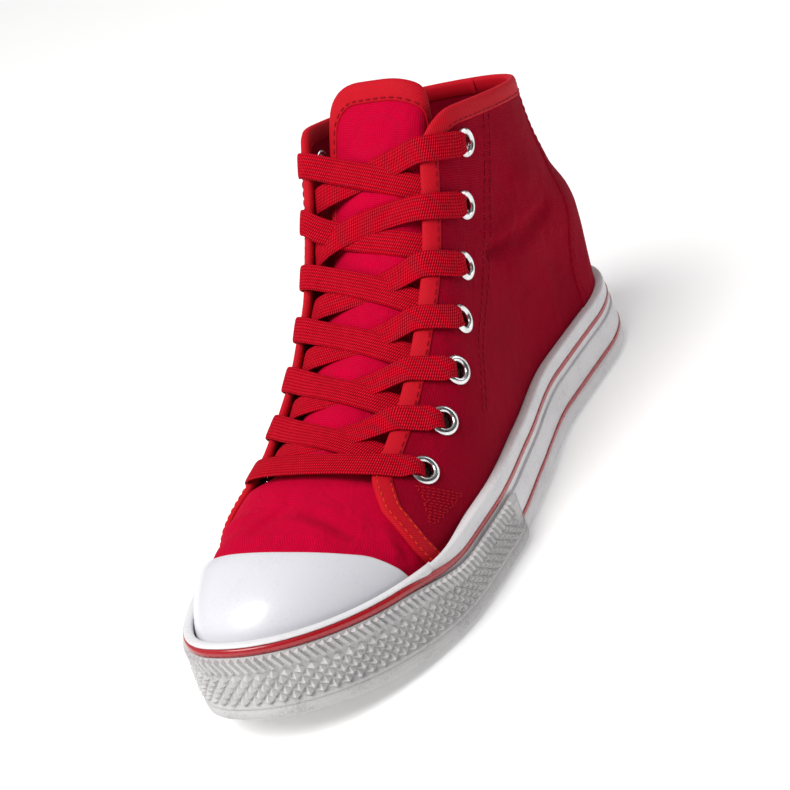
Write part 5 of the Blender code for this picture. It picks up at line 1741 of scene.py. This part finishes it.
def on_bumper(share, pitch, start, slant=0.0):
    """A row of points every pitch mm along the bumper's face, at a share of its height."""
    order = np.arange(bumper_first + 3, bumper_last - 2)
    run = lengths(PLAN_POINTS[order] + PLAN_OUT[order] * 6.0)
    at = np.arange(start, run[-1], pitch)
    lined = np.column_stack([STATIONS, PLAN_POINTS, PLAN_OUT])[order]
    station, x, y, out_x, out_y = (np.interp(at, run, column) for column in lined.T)
    out = unit(np.column_stack([out_x, out_y]))
    low = STUDS_LOW + spring(station)
    height = low + (bumper_top(station) - 0.4 - low) * share
    where = np.column_stack([x, y]) + out * bumper_out(station, height)[:, None]
    points = np.column_stack([where, height])
    outs = np.column_stack([out, np.full(len(out), -0.04)])
    alongs = np.column_stack([-out[:, 1], out[:, 0], np.full(len(out), slant)])
    return points, unit(outs), unit(alongs)


DIAMOND = ((1.95, 0.0), (0.0, 1.8), (-1.95, 0.0), (0.0, -1.8))
DIAMOND_PITCH, DIAMOND_ROWS = 3.9, 5
pyramid_shape = faceted("pyramid_shape", DIAMOND, [(x * 0.14, y * 0.14) for x, y in DIAMOND], 1.45)
diamond_rows = [
    on_bumper(0.56 - 0.125 * k, DIAMOND_PITCH, DIAMOND_PITCH / 2 * (k % 2))
    for k in range(DIAMOND_ROWS)
]
diamonds = [np.concatenate(parts) for parts in zip(*diamond_rows)]
pyramids = set_shapes("bumper_pyramids", pyramid_shape, *diamonds, shaded_bumper_rubber)
RIB = ((0.95, 2.5), (-0.95, 2.5), (-0.95, -2.5), (0.95, -2.5))
rib_shape = faceted("rib_shape", RIB, [(x * 0.5, y * 0.92) for x, y in RIB], 1.15)
ribs = set_shapes("bumper_ribs", rib_shape, *on_bumper(0.84, 2.55, 0.6, 0.55), shaded_bumper_rubber)
print("bumper studs:", len(pyramids.data.polygons), len(ribs.data.polygons))

# %% [markdown]
# ### Toe cap
# The cap is moulded rubber over the vamp, glossy enough to show any facet, so it is one fine
# sheet on the last with its rear lip rounded over, instead of a ball that is cut to size.

# %% Toe cap shell
def cap_reach(u, side):
    """How far the cap runs down a slice: to a lap inside the foxing."""
    share = np.linspace(0, 1, ACROSS_STEPS)
    full = reach(u, side)
    points = on_last(np.full(ACROSS_STEPS, u), side * share * full)
    height = points[:, 2] - (FOXING_TOP - 4.0 + spring(points[:, 0]))
    order = np.argsort(height)
    return np.interp(0.0, height[order], (share * full)[order])


CAP_EDGE = (
    (-1.0, 0.160), (-0.5, 0.167), (0.0, 0.175), (0.25, 0.180), (0.37, 0.185), (0.52, 0.193),
    (0.66, 0.200), (0.80, 0.197), (1.0, 0.185),
)


def make_cap():
    """The cap as a thin shell, thinner at its lip."""
    tip = next(u for u in np.linspace(0, 0.175, 600) if cap_reach(u, 1) > 0.05)
    rear = curve_through(CAP_EDGE, 1)
    main = (np.linspace(0, 1, 60) ** 1.5) * 0.955
    lip = 0.955 + 0.045 * np.sin(np.linspace(0, math.pi / 2, 12))[1:]
    along = np.concatenate([main, lip])
    shares = np.linspace(-1, 1, 121)
    u = np.empty((len(along), len(shares)))
    s = np.empty_like(u)
    for j, share in enumerate(shares):
        side = 1 if share > 0 else -1
        u[:, j] = tip + (rear(share) - tip) * along
        s[:, j] = [share * cap_reach(v, side) for v in u[:, j]]
    edge = np.clip((1 - along) * 38.0, 0.0, None)[:, None]
    thin = 1.95 - 0.55 * np.clip(1 - edge / 7.0, 0.0, 1.0) ** 2
    round_over = np.sqrt(np.clip(1 - (1 - np.clip(edge / 1.2, 0.0, 1.0)) ** 2, 0.0, 1.0))
    rise = -0.6 + (thin + 0.6) * round_over
    outer = skin(u, s, np.broadcast_to(rise, u.shape))
    inner = skin(u, s, np.broadcast_to(np.where(edge < 3.0, -0.75, 0.3), u.shape))
    return shell("toe_cap_shell", outer, inner)


toe_cap = wear(make_cap(), cap_rubber, foxing_rubber)
print("cap faces:", len(toe_cap.data.polygons))

# %% [markdown]
# ### Outsole and insole
# The outsole is a plate with hexagonal lugs under it, and the insole is a cloth-covered board
# that lies on it. Both follow the outline; the lugs are set out as a grid by the setting tree.

# %% Plates
def plate_grid(inset, low, high, dish=0.0):
    """Top and bottom grids of points inside the outline."""
    edge = PLAN_POINTS - PLAN_OUT * inset(STATIONS)[:, None]
    left = edge[: OUTLINE_STEPS + 1]
    right = np.concatenate([edge[:1], edge[OUTLINE_STEPS:][::-1]])
    share = np.linspace(0, 1, 31)[None, :, None]
    flat = left[:, None] * (1 - share) + right[:, None] * share
    x = flat[..., 0]
    lift = dish * (2 * share[..., 0] - 1) ** 4
    top = np.concatenate([flat, (high(x) + lift)[..., None]], axis=-1)
    bottom = np.concatenate([flat, low(x)[..., None]], axis=-1)
    return top, bottom


def welded_out(made):
    """Merges the points that meet at the tips and turns the plate the right way out."""
    shape = bmesh.new()
    shape.from_mesh(made.data)
    bmesh.ops.remove_doubles(shape, verts=shape.verts, dist=0.00001)
    bmesh.ops.dissolve_degenerate(shape, edges=shape.edges, dist=0.00001)
    shape.to_mesh(made.data)
    shape.free()
    return face_out(made)


LUG = 0.9
ON_BOARD, INSOLE_TOP, INSOLE_DISH = 0.3, 4.1, 0.9
top, bottom = plate_grid(lambda x: 0.1 - toe_room(x), lambda x: ground(x) + LUG, board)
outsole = wear(welded_out(shell("outsole_plate", top, bottom)), sole_rubber, sole_rubber)
top, bottom = plate_grid(
    lambda x: 2.0 + 0 * x, lambda x: board(x) + ON_BOARD, lambda x: board(x) + INSOLE_TOP, INSOLE_DISH
)
insole = wear(welded_out(shell("insole_board", top, bottom)), insole_cloth, insole_cloth)


def hem_section(x):
    """The upper's foot, turned in between the foxing and the insole."""
    low = board(x) + ON_BOARD
    high = feather(x) + 1.2
    return [(0.15, low), (0.15, high), (-1.0, high + 0.6), (-1.85, high), (-1.85, low)]


hem = wear(sweep("lasting_hem", hem_section), lining)


def lug_places():
    """A hexagonal grid of places under the outsole, 4 mm inside its edge."""
    places = []
    for row, x in enumerate(np.arange(-24.0, 218.0, 5.2)):
        z = feather(x)
        left = plan_centre(x) - half_width(MEDIAL, x, z) + 1.6
        right = plan_centre(x) + half_width(LATERAL, x, z) - 1.6
        for y in np.arange(-39.0 + 3.0 * (row % 2), 42.0, 6.0):
            if left < y < right:
                places.append((x, y, ground(x) + LUG))
    return np.array(places)


HEXAGON = boxy_ring(6, 2.6, 2.6)
lug_shape = faceted("lug_shape", HEXAGON, [(x * 0.82, y * 0.82) for x, y in HEXAGON], LUG)
lug_at = lug_places()
down_way = np.tile((0.0, 0.0, -1.0), (len(lug_at), 1))
run_way = np.tile((1.0, 0.0, 0.0), (len(lug_at), 1))
lugs = set_shapes("tread_lugs", lug_shape, lug_at, down_way, run_way, sole_rubber)
print("lugs:", len(lug_at))

# %% [markdown]
# ## The zip
# The zip is closed up to its slider: two woven tapes, a row of teeth on each, a slider with a
# bridge, an open link on the bridge and a flat tab on the link. Teeth are the part that
# repeats, so one tooth is drawn and the setting tree lays it along the zip's line.

# %% Tape
def medial_wall(x, z, rise):
    """Points over (+) or under (-) the medial wall, by their places in side view."""
    x, z, rise = np.broadcast_arrays(np.asarray(x, float), np.asarray(z, float), rise)
    here, ahead = [plan_centre(a) - half_width(MEDIAL, a, z) for a in (x, x + 0.5)]
    above = plan_centre(x) - half_width(MEDIAL, x, z + 0.5)
    by_x, by_z = (ahead - here) / 0.5, (above - here) / 0.5
    direction = unit(np.stack([by_x, -np.ones_like(by_x), by_z], axis=-1))
    return np.stack([x, here, z], axis=-1) + rise[..., None] * direction


CHAIN_MIDDLE = -3.5
CHAIN_TOP = 103.5
TAPE_FOOT, TAPE_TOP, TAPE_WIDTH = 49.0, 113.0, 8.6


def parting(z):
    """How far each tape's edge stands from the zip's line: nothing below the slider."""
    return 0.25 + 1.6 * smooth((z - CHAIN_TOP - 3.0) / 9.0)


def make_tape(name, side):
    """One tape with its woven edge cord beside the teeth."""
    z = np.linspace(TAPE_FOOT, TAPE_TOP, 90)
    away = np.concatenate([[0.0, 0.35, 0.8, 1.2], np.linspace(1.8, TAPE_WIDTH, 10)])
    grid_z = np.repeat(z[:, None], len(away), axis=1)
    x = zip_x(grid_z) + side * (parting(grid_z) + away)
    cord = 0.35 * np.exp(-(((away - 0.5) / 0.45) ** 2))
    outer = medial_wall(x, grid_z, CHAIN_MIDDLE + 0.25 + cord)
    inner = medial_wall(x, grid_z, CHAIN_MIDDLE - 0.25 - cord)
    return shell(name, outer, inner)


zip_tapes = put_together("zip_tapes", [make_tape("front_tape", 1), make_tape("rear_tape", -1)])
wear(zip_tapes, zip_tape)
print("tape faces:", len(zip_tapes.data.polygons))

# %% Teeth
TOOTH_PITCH = 1.7
TOOTH_OUTLINE = (
    (-2.1, -0.42), (0.0, -0.48), (0.6, -0.34), (0.75, 0.0), (0.6, 0.34), (0.0, 0.48), (-2.1, 0.42),
)
TOOTH_LEVELS = ((0.72, -0.8), (1.0, -0.5), (1.0, 0.5), (0.72, 0.8))
TEETH_FOOT, TEETH_TOP = 53.6, 112.5
HIDDEN_LOW, HIDDEN_TOP = CHAIN_TOP + 1.5, 111.1


def tooth_rows():
    """Places of the teeth: two rows that interlock below the slider and part above it."""
    points, outs, alongs = [], [], []
    for side in (1, -1):
        first = TEETH_FOOT + (0 if side > 0 else TOOTH_PITCH / 2)
        for z in np.arange(first, TEETH_TOP, TOOTH_PITCH):
            if HIDDEN_LOW < z < HIDDEN_TOP:
                continue
            x = zip_x(z) + side * (parting(z) - 0.25)
            place = medial_wall(x, z, CHAIN_MIDDLE)
            lean = zip_x(z + 0.5) - zip_x(z - 0.5)
            points.append(place)
            outs.append(unit(medial_wall(x, z, CHAIN_MIDDLE + 1.0) - place))
            alongs.append(unit(np.array([-side, 0.0, side * lean])))
    return np.array(points), np.array(outs), np.array(alongs)


tooth_sections = [[(x, y * k, h) for x, y in TOOTH_OUTLINE] for k, h in TOOTH_LEVELS]
tooth_shape = tube("tooth_shape", tooth_sections)
teeth = set_shapes("zip_teeth", tooth_shape, *tooth_rows(), tooth_metal)
print("teeth faces:", len(teeth.data.polygons))


# %% Flat plates with rounded edges
def flat_plate(name, loops, y, thickness, edge):
    """A plate in the X-Z plane from closed outlines, holes included, with rounded edges."""
    curve = bpy.data.curves.new(name, "CURVE")
    curve.dimensions = "2D"
    curve.fill_mode = "BOTH"
    curve.extrude = (thickness / 2 - edge) * MM
    curve.bevel_depth = edge * MM
    curve.bevel_resolution = 2
    curve.offset = -edge * MM
    for loop in loops:
        spline = curve.splines.new("POLY")
        spline.points.add(len(loop) - 1)
        spline.use_cyclic_u = True
        for point, (x, z) in zip(spline.points, loop):
            point.co = (x * MM, z * MM, 0.0, 1.0)
    drawn = place_new(name, curve)
    mesh = evaluated_mesh(drawn)
    bpy.data.objects.remove(drawn)
    mesh.transform(Matrix.Translation((0.0, y * MM, 0.0)) @ Matrix.Rotation(math.pi / 2, 4, "X"))
    mesh.name = name
    mesh.shade_smooth()
    return welded_out(place_new(name, mesh))


def rounded_loop(x, z_low, z_high, half_low, half_high, steps=48):
    """A closed outline like a stadium whose two ends may differ in width."""
    points = []
    for i in range(steps):
        angle = 2 * math.pi * (i + 0.5) / steps
        half = half_high if math.sin(angle) > 0 else half_low
        centre = z_high - half_high if math.sin(angle) > 0 else z_low + half_low
        points.append((x + half * math.cos(angle), centre + half * math.sin(angle)))
    return points


# %% Slider
SLIDER_X, SLIDER_Z = 10.4, 109.5
SLIDER_LENGTH = 9.4
WIRE = 0.75
wall_y = float(medial_wall(SLIDER_X, SLIDER_Z, 0.0)[1])
slider_low = SLIDER_Z - SLIDER_LENGTH / 2
slider_high = SLIDER_Z + SLIDER_LENGTH / 2
PIVOT_Y = wall_y - 1.3
PIVOT_Z = slider_low + 1.0 + 1.2 + WIRE + 0.65
SHIELD_SIDE = (
    (2.6, 0.0), (3.1, 0.5), (3.2, 2.2), (3.9, 5.2), (4.0, 7.6), (3.4, 8.9), (2.2, 9.4), (0.9, 9.0),
)
SHIELD = (*SHIELD_SIDE, (0.0, 8.5), *((-x, z) for x, z in SHIELD_SIDE[::-1]))
shield = [(SLIDER_X + x, slider_low + z) for x, z in SHIELD]
divider = rounded_loop(SLIDER_X, slider_high - 3.2, slider_high - 0.9, 0.8, 0.8, 16)
plates = [
    flat_plate("front_plate", [shield], wall_y + 1.8, 1.0, 0.25),
    flat_plate("back_plate", [shield], wall_y + 6.05, 0.8, 0.2),
    flat_plate("divider", [divider], wall_y + 3.9, 4.0, 0.1),
]
slider = wear(put_together("slider_body", plates), slider_metal)


def bar_along(name, path, half_x, half_thick):
    """A flat bar bent along a path of (y, z) at the slider's middle."""
    path = np.array(path)
    run = unit(np.gradient(path, axis=0))
    ring = boxy_ring(12, half_x, half_thick, 0.5, 0.6)
    sections = []
    for (y, z), (dy, dz) in zip(path, run):
        sections.append([(SLIDER_X + a, y - dz * b, z + dy * b) for a, b in ring])
    return tube(name, sections)


arch_y = PIVOT_Y - WIRE - 0.4 - 0.5
bridge_low, bridge_high = slider_low + 1.6, slider_high - 1.6
turns = np.linspace(0, math.pi / 2, 7)
radius = 1.1
bridge_path = [(wall_y + 1.7, bridge_low), (wall_y, bridge_low)]
for a in turns:
    lower_turn = (radius * (1 - math.sin(a)), radius * (1 - math.cos(a)))
    bridge_path.append((arch_y + lower_turn[0], bridge_low + lower_turn[1]))
for a in turns:
    upper_turn = (radius * (1 - math.cos(a)), radius * (1 - math.sin(a)))
    bridge_path.append((arch_y + upper_turn[0], bridge_high - upper_turn[1]))
bridge_path += [(wall_y, bridge_high), (wall_y + 1.7, bridge_high)]
bridge = wear(bar_along("slider_bridge", bridge_path, 1.2, 0.5), bridge_metal)
print("slider at z", slider_low, "to", slider_high)

# %% Link and tab
LINK_LENGTH, LINK_HALF = 15.0, 3.4
link_top = PIVOT_Z + WIRE
link_low = link_top - LINK_LENGTH - 2 * WIRE


def make_link():
    """An open link of round wire, a little flatter front to back."""
    half = LINK_HALF - 0.68
    path = np.array(rounded_loop(SLIDER_X, link_low + WIRE, link_top - WIRE, half, half, 64))
    run = unit(np.roll(path, -1, axis=0) - np.roll(path, 1, axis=0))
    ring = boxy_ring(14, 0.66, 0.62)
    sections = []
    for (x, z), (dx, dz) in zip(path, run):
        sections.append([(x + dz * a, PIVOT_Y + b, z - dx * a) for a, b in ring])
    return tube("pull_link_wire", sections, True)


link_wire = wear(make_link(), pull_metal)
tab_pivot_z = link_low + WIRE
tab_low = tab_pivot_z - 16.0
hole_low = tab_low + 1.6
tab_outline = rounded_loop(SLIDER_X, tab_low, tab_pivot_z - 1.25, 3.2, 1.6, 64)
tab_hole = rounded_loop(SLIDER_X, hole_low, hole_low + 4.2, 1.3, 0.65, 40)
tab_plate = flat_plate("tab_plate", [tab_outline, tab_hole], PIVOT_Y, 1.1, 0.25)
rim_outline = rounded_loop(SLIDER_X, hole_low - 0.5, hole_low + 4.7, 1.8, 1.1, 40)
tab_rim = flat_plate("tab_rim", [rim_outline, tab_hole], PIVOT_Y, 1.35, 0.2)
KNUCKLE = (
    (1.95, -0.85), (1.7, -1.1), (1.4, -1.1), (1.25, -0.95), (1.25, 0.95), (1.4, 1.1), (1.7, 1.1),
    (1.95, 0.85),
)
knuckle = turned("tab_knuckle", KNUCKLE, 32)
to_pivot = Matrix.Translation(Vector((SLIDER_X, PIVOT_Y, tab_pivot_z)) * MM)
knuckle.data.transform(to_pivot @ Matrix.Rotation(math.pi / 2, 4, "Y"))
tab = wear(put_together("pull_tab_plate", [tab_plate, tab_rim, knuckle]), pull_metal)
print("tab from z", round(tab_low, 1), "to", round(tab_pivot_z + 1.95, 1))

# %% [markdown]
# ## Handing the pieces over
# Each piece rides on the CAD body that it belongs to and stands for the CAD nodes that it
# covers. Only the link and the tab move; everything else rides on the shoe.

# %% Bodies and nodes
EYELET_NODES = [f"eyelet_{LABELS[side]}_{row}" for row, side in EYELETS]
fit(lateral_quarter, "canvas", "upper")
fit(medial_quarter, "canvas")
fit(vamp_and_tongue, "canvas", "tongue")
for side in (LATERAL, MEDIAL):
    fit(bindings[side], "canvas")
    fit(stays[side], "canvas")
for piece in (tongue_binding, red_thread, orange_thread, patch_thread):
    fit(piece, "canvas")
fit(eyelets, "eyelet", *EYELET_NODES)
for (row, side), strand in strands.items():
    fit(strand, "lace", *([f"lace_cross_{row}"] if side == LATERAL else []))
fit(bar, "lace", "lace_bar")
fit(foxing, "rubber_white", "foxing")
fit(stripe_upper, "rubber_white")
fit(stripe_lower, "rubber_white")
fit(toe_bead, "rubber_white", "toe_bead")
fit(bumper, "rubber_white", "toe_bumper")
fit(pyramids, "rubber_white")
fit(ribs, "rubber_white")
fit(toe_cap, "rubber_white", "toe_cap")
fit(outsole, "outsole", "outsole")
fit(lugs, "outsole")
fit(insole, "insole", "insole")
fit(hem, "canvas")
fit(zip_tapes, "zip_tape", "zip_tape")
fit(teeth, "zip_metal", "zip_chain")
fit(slider, "zip_metal", "zip_slider")
fit(bridge, "zip_metal")
fit(link_wire, "zip_metal", "zip_link", body="pull_link")
fit(tab, "zip_metal", "zip_tab", body="pull_tab")

# %% [markdown]
# ## Floor, light and camera
# The shoe stands on a plain pale floor, which glows a little, as a lit white studio sweep
# does. One large round lamp in front lights the toe and leaves the outer side in shade, and a
# weak one behind fills the shade.

# %% Floor and world
floor_mesh = bpy.data.meshes.new("floor")
floor_shape = bmesh.new()
bmesh.ops.create_circle(floor_shape, cap_ends=True, segments=96, radius=6.0)
floor_shape.to_mesh(floor_mesh)
floor_shape.free()
floor_mesh.transform(Matrix.Translation((0.1, 0.0, -0.0001)))
floor = place_new("floor", floor_mesh)
paper = {"Roughness": 0.9, "Specular IOR Level": 0.2}
paper |= {"Emission Color": paint("FFFFFF"), "Emission Strength": 0.2}
floor_paper, floor_tree, floor_shader, floor_place = new_finish("pale_studio_paper", paper)
clouds = {"Vector": floor_place, "Scale": grains(900.0)}
floor_cloud = add_node(floor_tree, "ShaderNodeTexNoise", clouds)
tones = {"Factor": floor_cloud, "A": paint("F6F6F6"), "B": paint("F2F2F2")}
dress(floor_tree, floor_shader, add_node(floor_tree, "ShaderNodeMix", tones, data_type="RGBA"))
wear(floor, floor_paper)
world = bpy.data.worlds.new("studio")
bpy.context.scene.world = world
world.use_nodes = True
sky = world.node_tree
sky_way = add_node(sky, "ShaderNodeTexCoord").outputs["Generated"]
sky_parts = add_node(sky, "ShaderNodeSeparateXYZ", {"Vector": sky_way}).outputs
upward = {"From Min": 0.0, "From Max": 0.9, "To Min": 0.30, "To Max": 0.95}
sky_up = add_node(sky, "ShaderNodeMapRange", {"Value": sky_parts["Z"]} | upward)
sideways = {"From Min": -0.9, "From Max": 0.9, "To Min": 0.85, "To Max": 0.1}
sky_side = add_node(sky, "ShaderNodeMapRange", {"Value": sky_parts["Y"]} | sideways)
sky_tone = add_node(sky, "ShaderNodeMath", {0: sky_up, 1: sky_side}, operation="MULTIPLY")
sky.links.new(live(sky_tone), sky.nodes["Background"].inputs["Color"])
sky.nodes["Background"].inputs["Strength"].default_value = 1.0
bpy.context.scene.view_settings.view_transform = "Standard"
print("floor laid")


# %% Lamps
def soft_lamp(name, place, target, size, power, tint):
    """A round area lamp at a place in metres, turned to its target."""
    lamp = bpy.data.lights.new(name, "AREA")
    lamp.shape = "DISK"
    lamp.size = size
    lamp.energy = power
    lamp.color = tint
    made = place_new(name, lamp)
    made.location = place
    made.rotation_euler = (Vector(target) - Vector(place)).to_track_quat("-Z", "Y").to_euler()
    print(name, "at", place, "with", power, "W")


soft_lamp("key_lamp", (1.5, -0.3, 2.2), (0.1, 0.0, 0.05), 1.8, 68.0, (1.0, 0.995, 0.985))
soft_lamp("fill_lamp", (-1.0, 0.9, 0.5), (0.0, 0.0, 0.06), 0.8, 3.0, (0.97, 0.98, 1.0))

# %% Camera
CAMERA_PLACE = Vector((0.6071, 0.3681, 0.3223))
CAMERA_AIM = Vector((0.1014, 0.0041, 0.0456))
CAMERA_ROLL = math.radians(20.14)
CAMERA_LENS = 95.0
forward = (CAMERA_AIM - CAMERA_PLACE).normalized()
level_right = forward.cross(Vector((0.0, 0.0, 1.0))).normalized()
level_down = forward.cross(level_right)
right = level_right * math.cos(CAMERA_ROLL) + level_down * math.sin(CAMERA_ROLL)
up = right.cross(forward)
lens = bpy.data.cameras.new("camera")
lens.lens = CAMERA_LENS
lens.sensor_width = 36.0
lens.clip_start = 0.01
camera = place_new("camera", lens)
turn = Matrix((right, up, -forward)).transposed().to_4x4()
camera.matrix_world = Matrix.Translation(CAMERA_PLACE) @ turn
bpy.context.scene.camera = camera
print("camera", (CAMERA_AIM - CAMERA_PLACE).length, "m from its aim")

# %% Finish
bpy.context.view_layer.update()
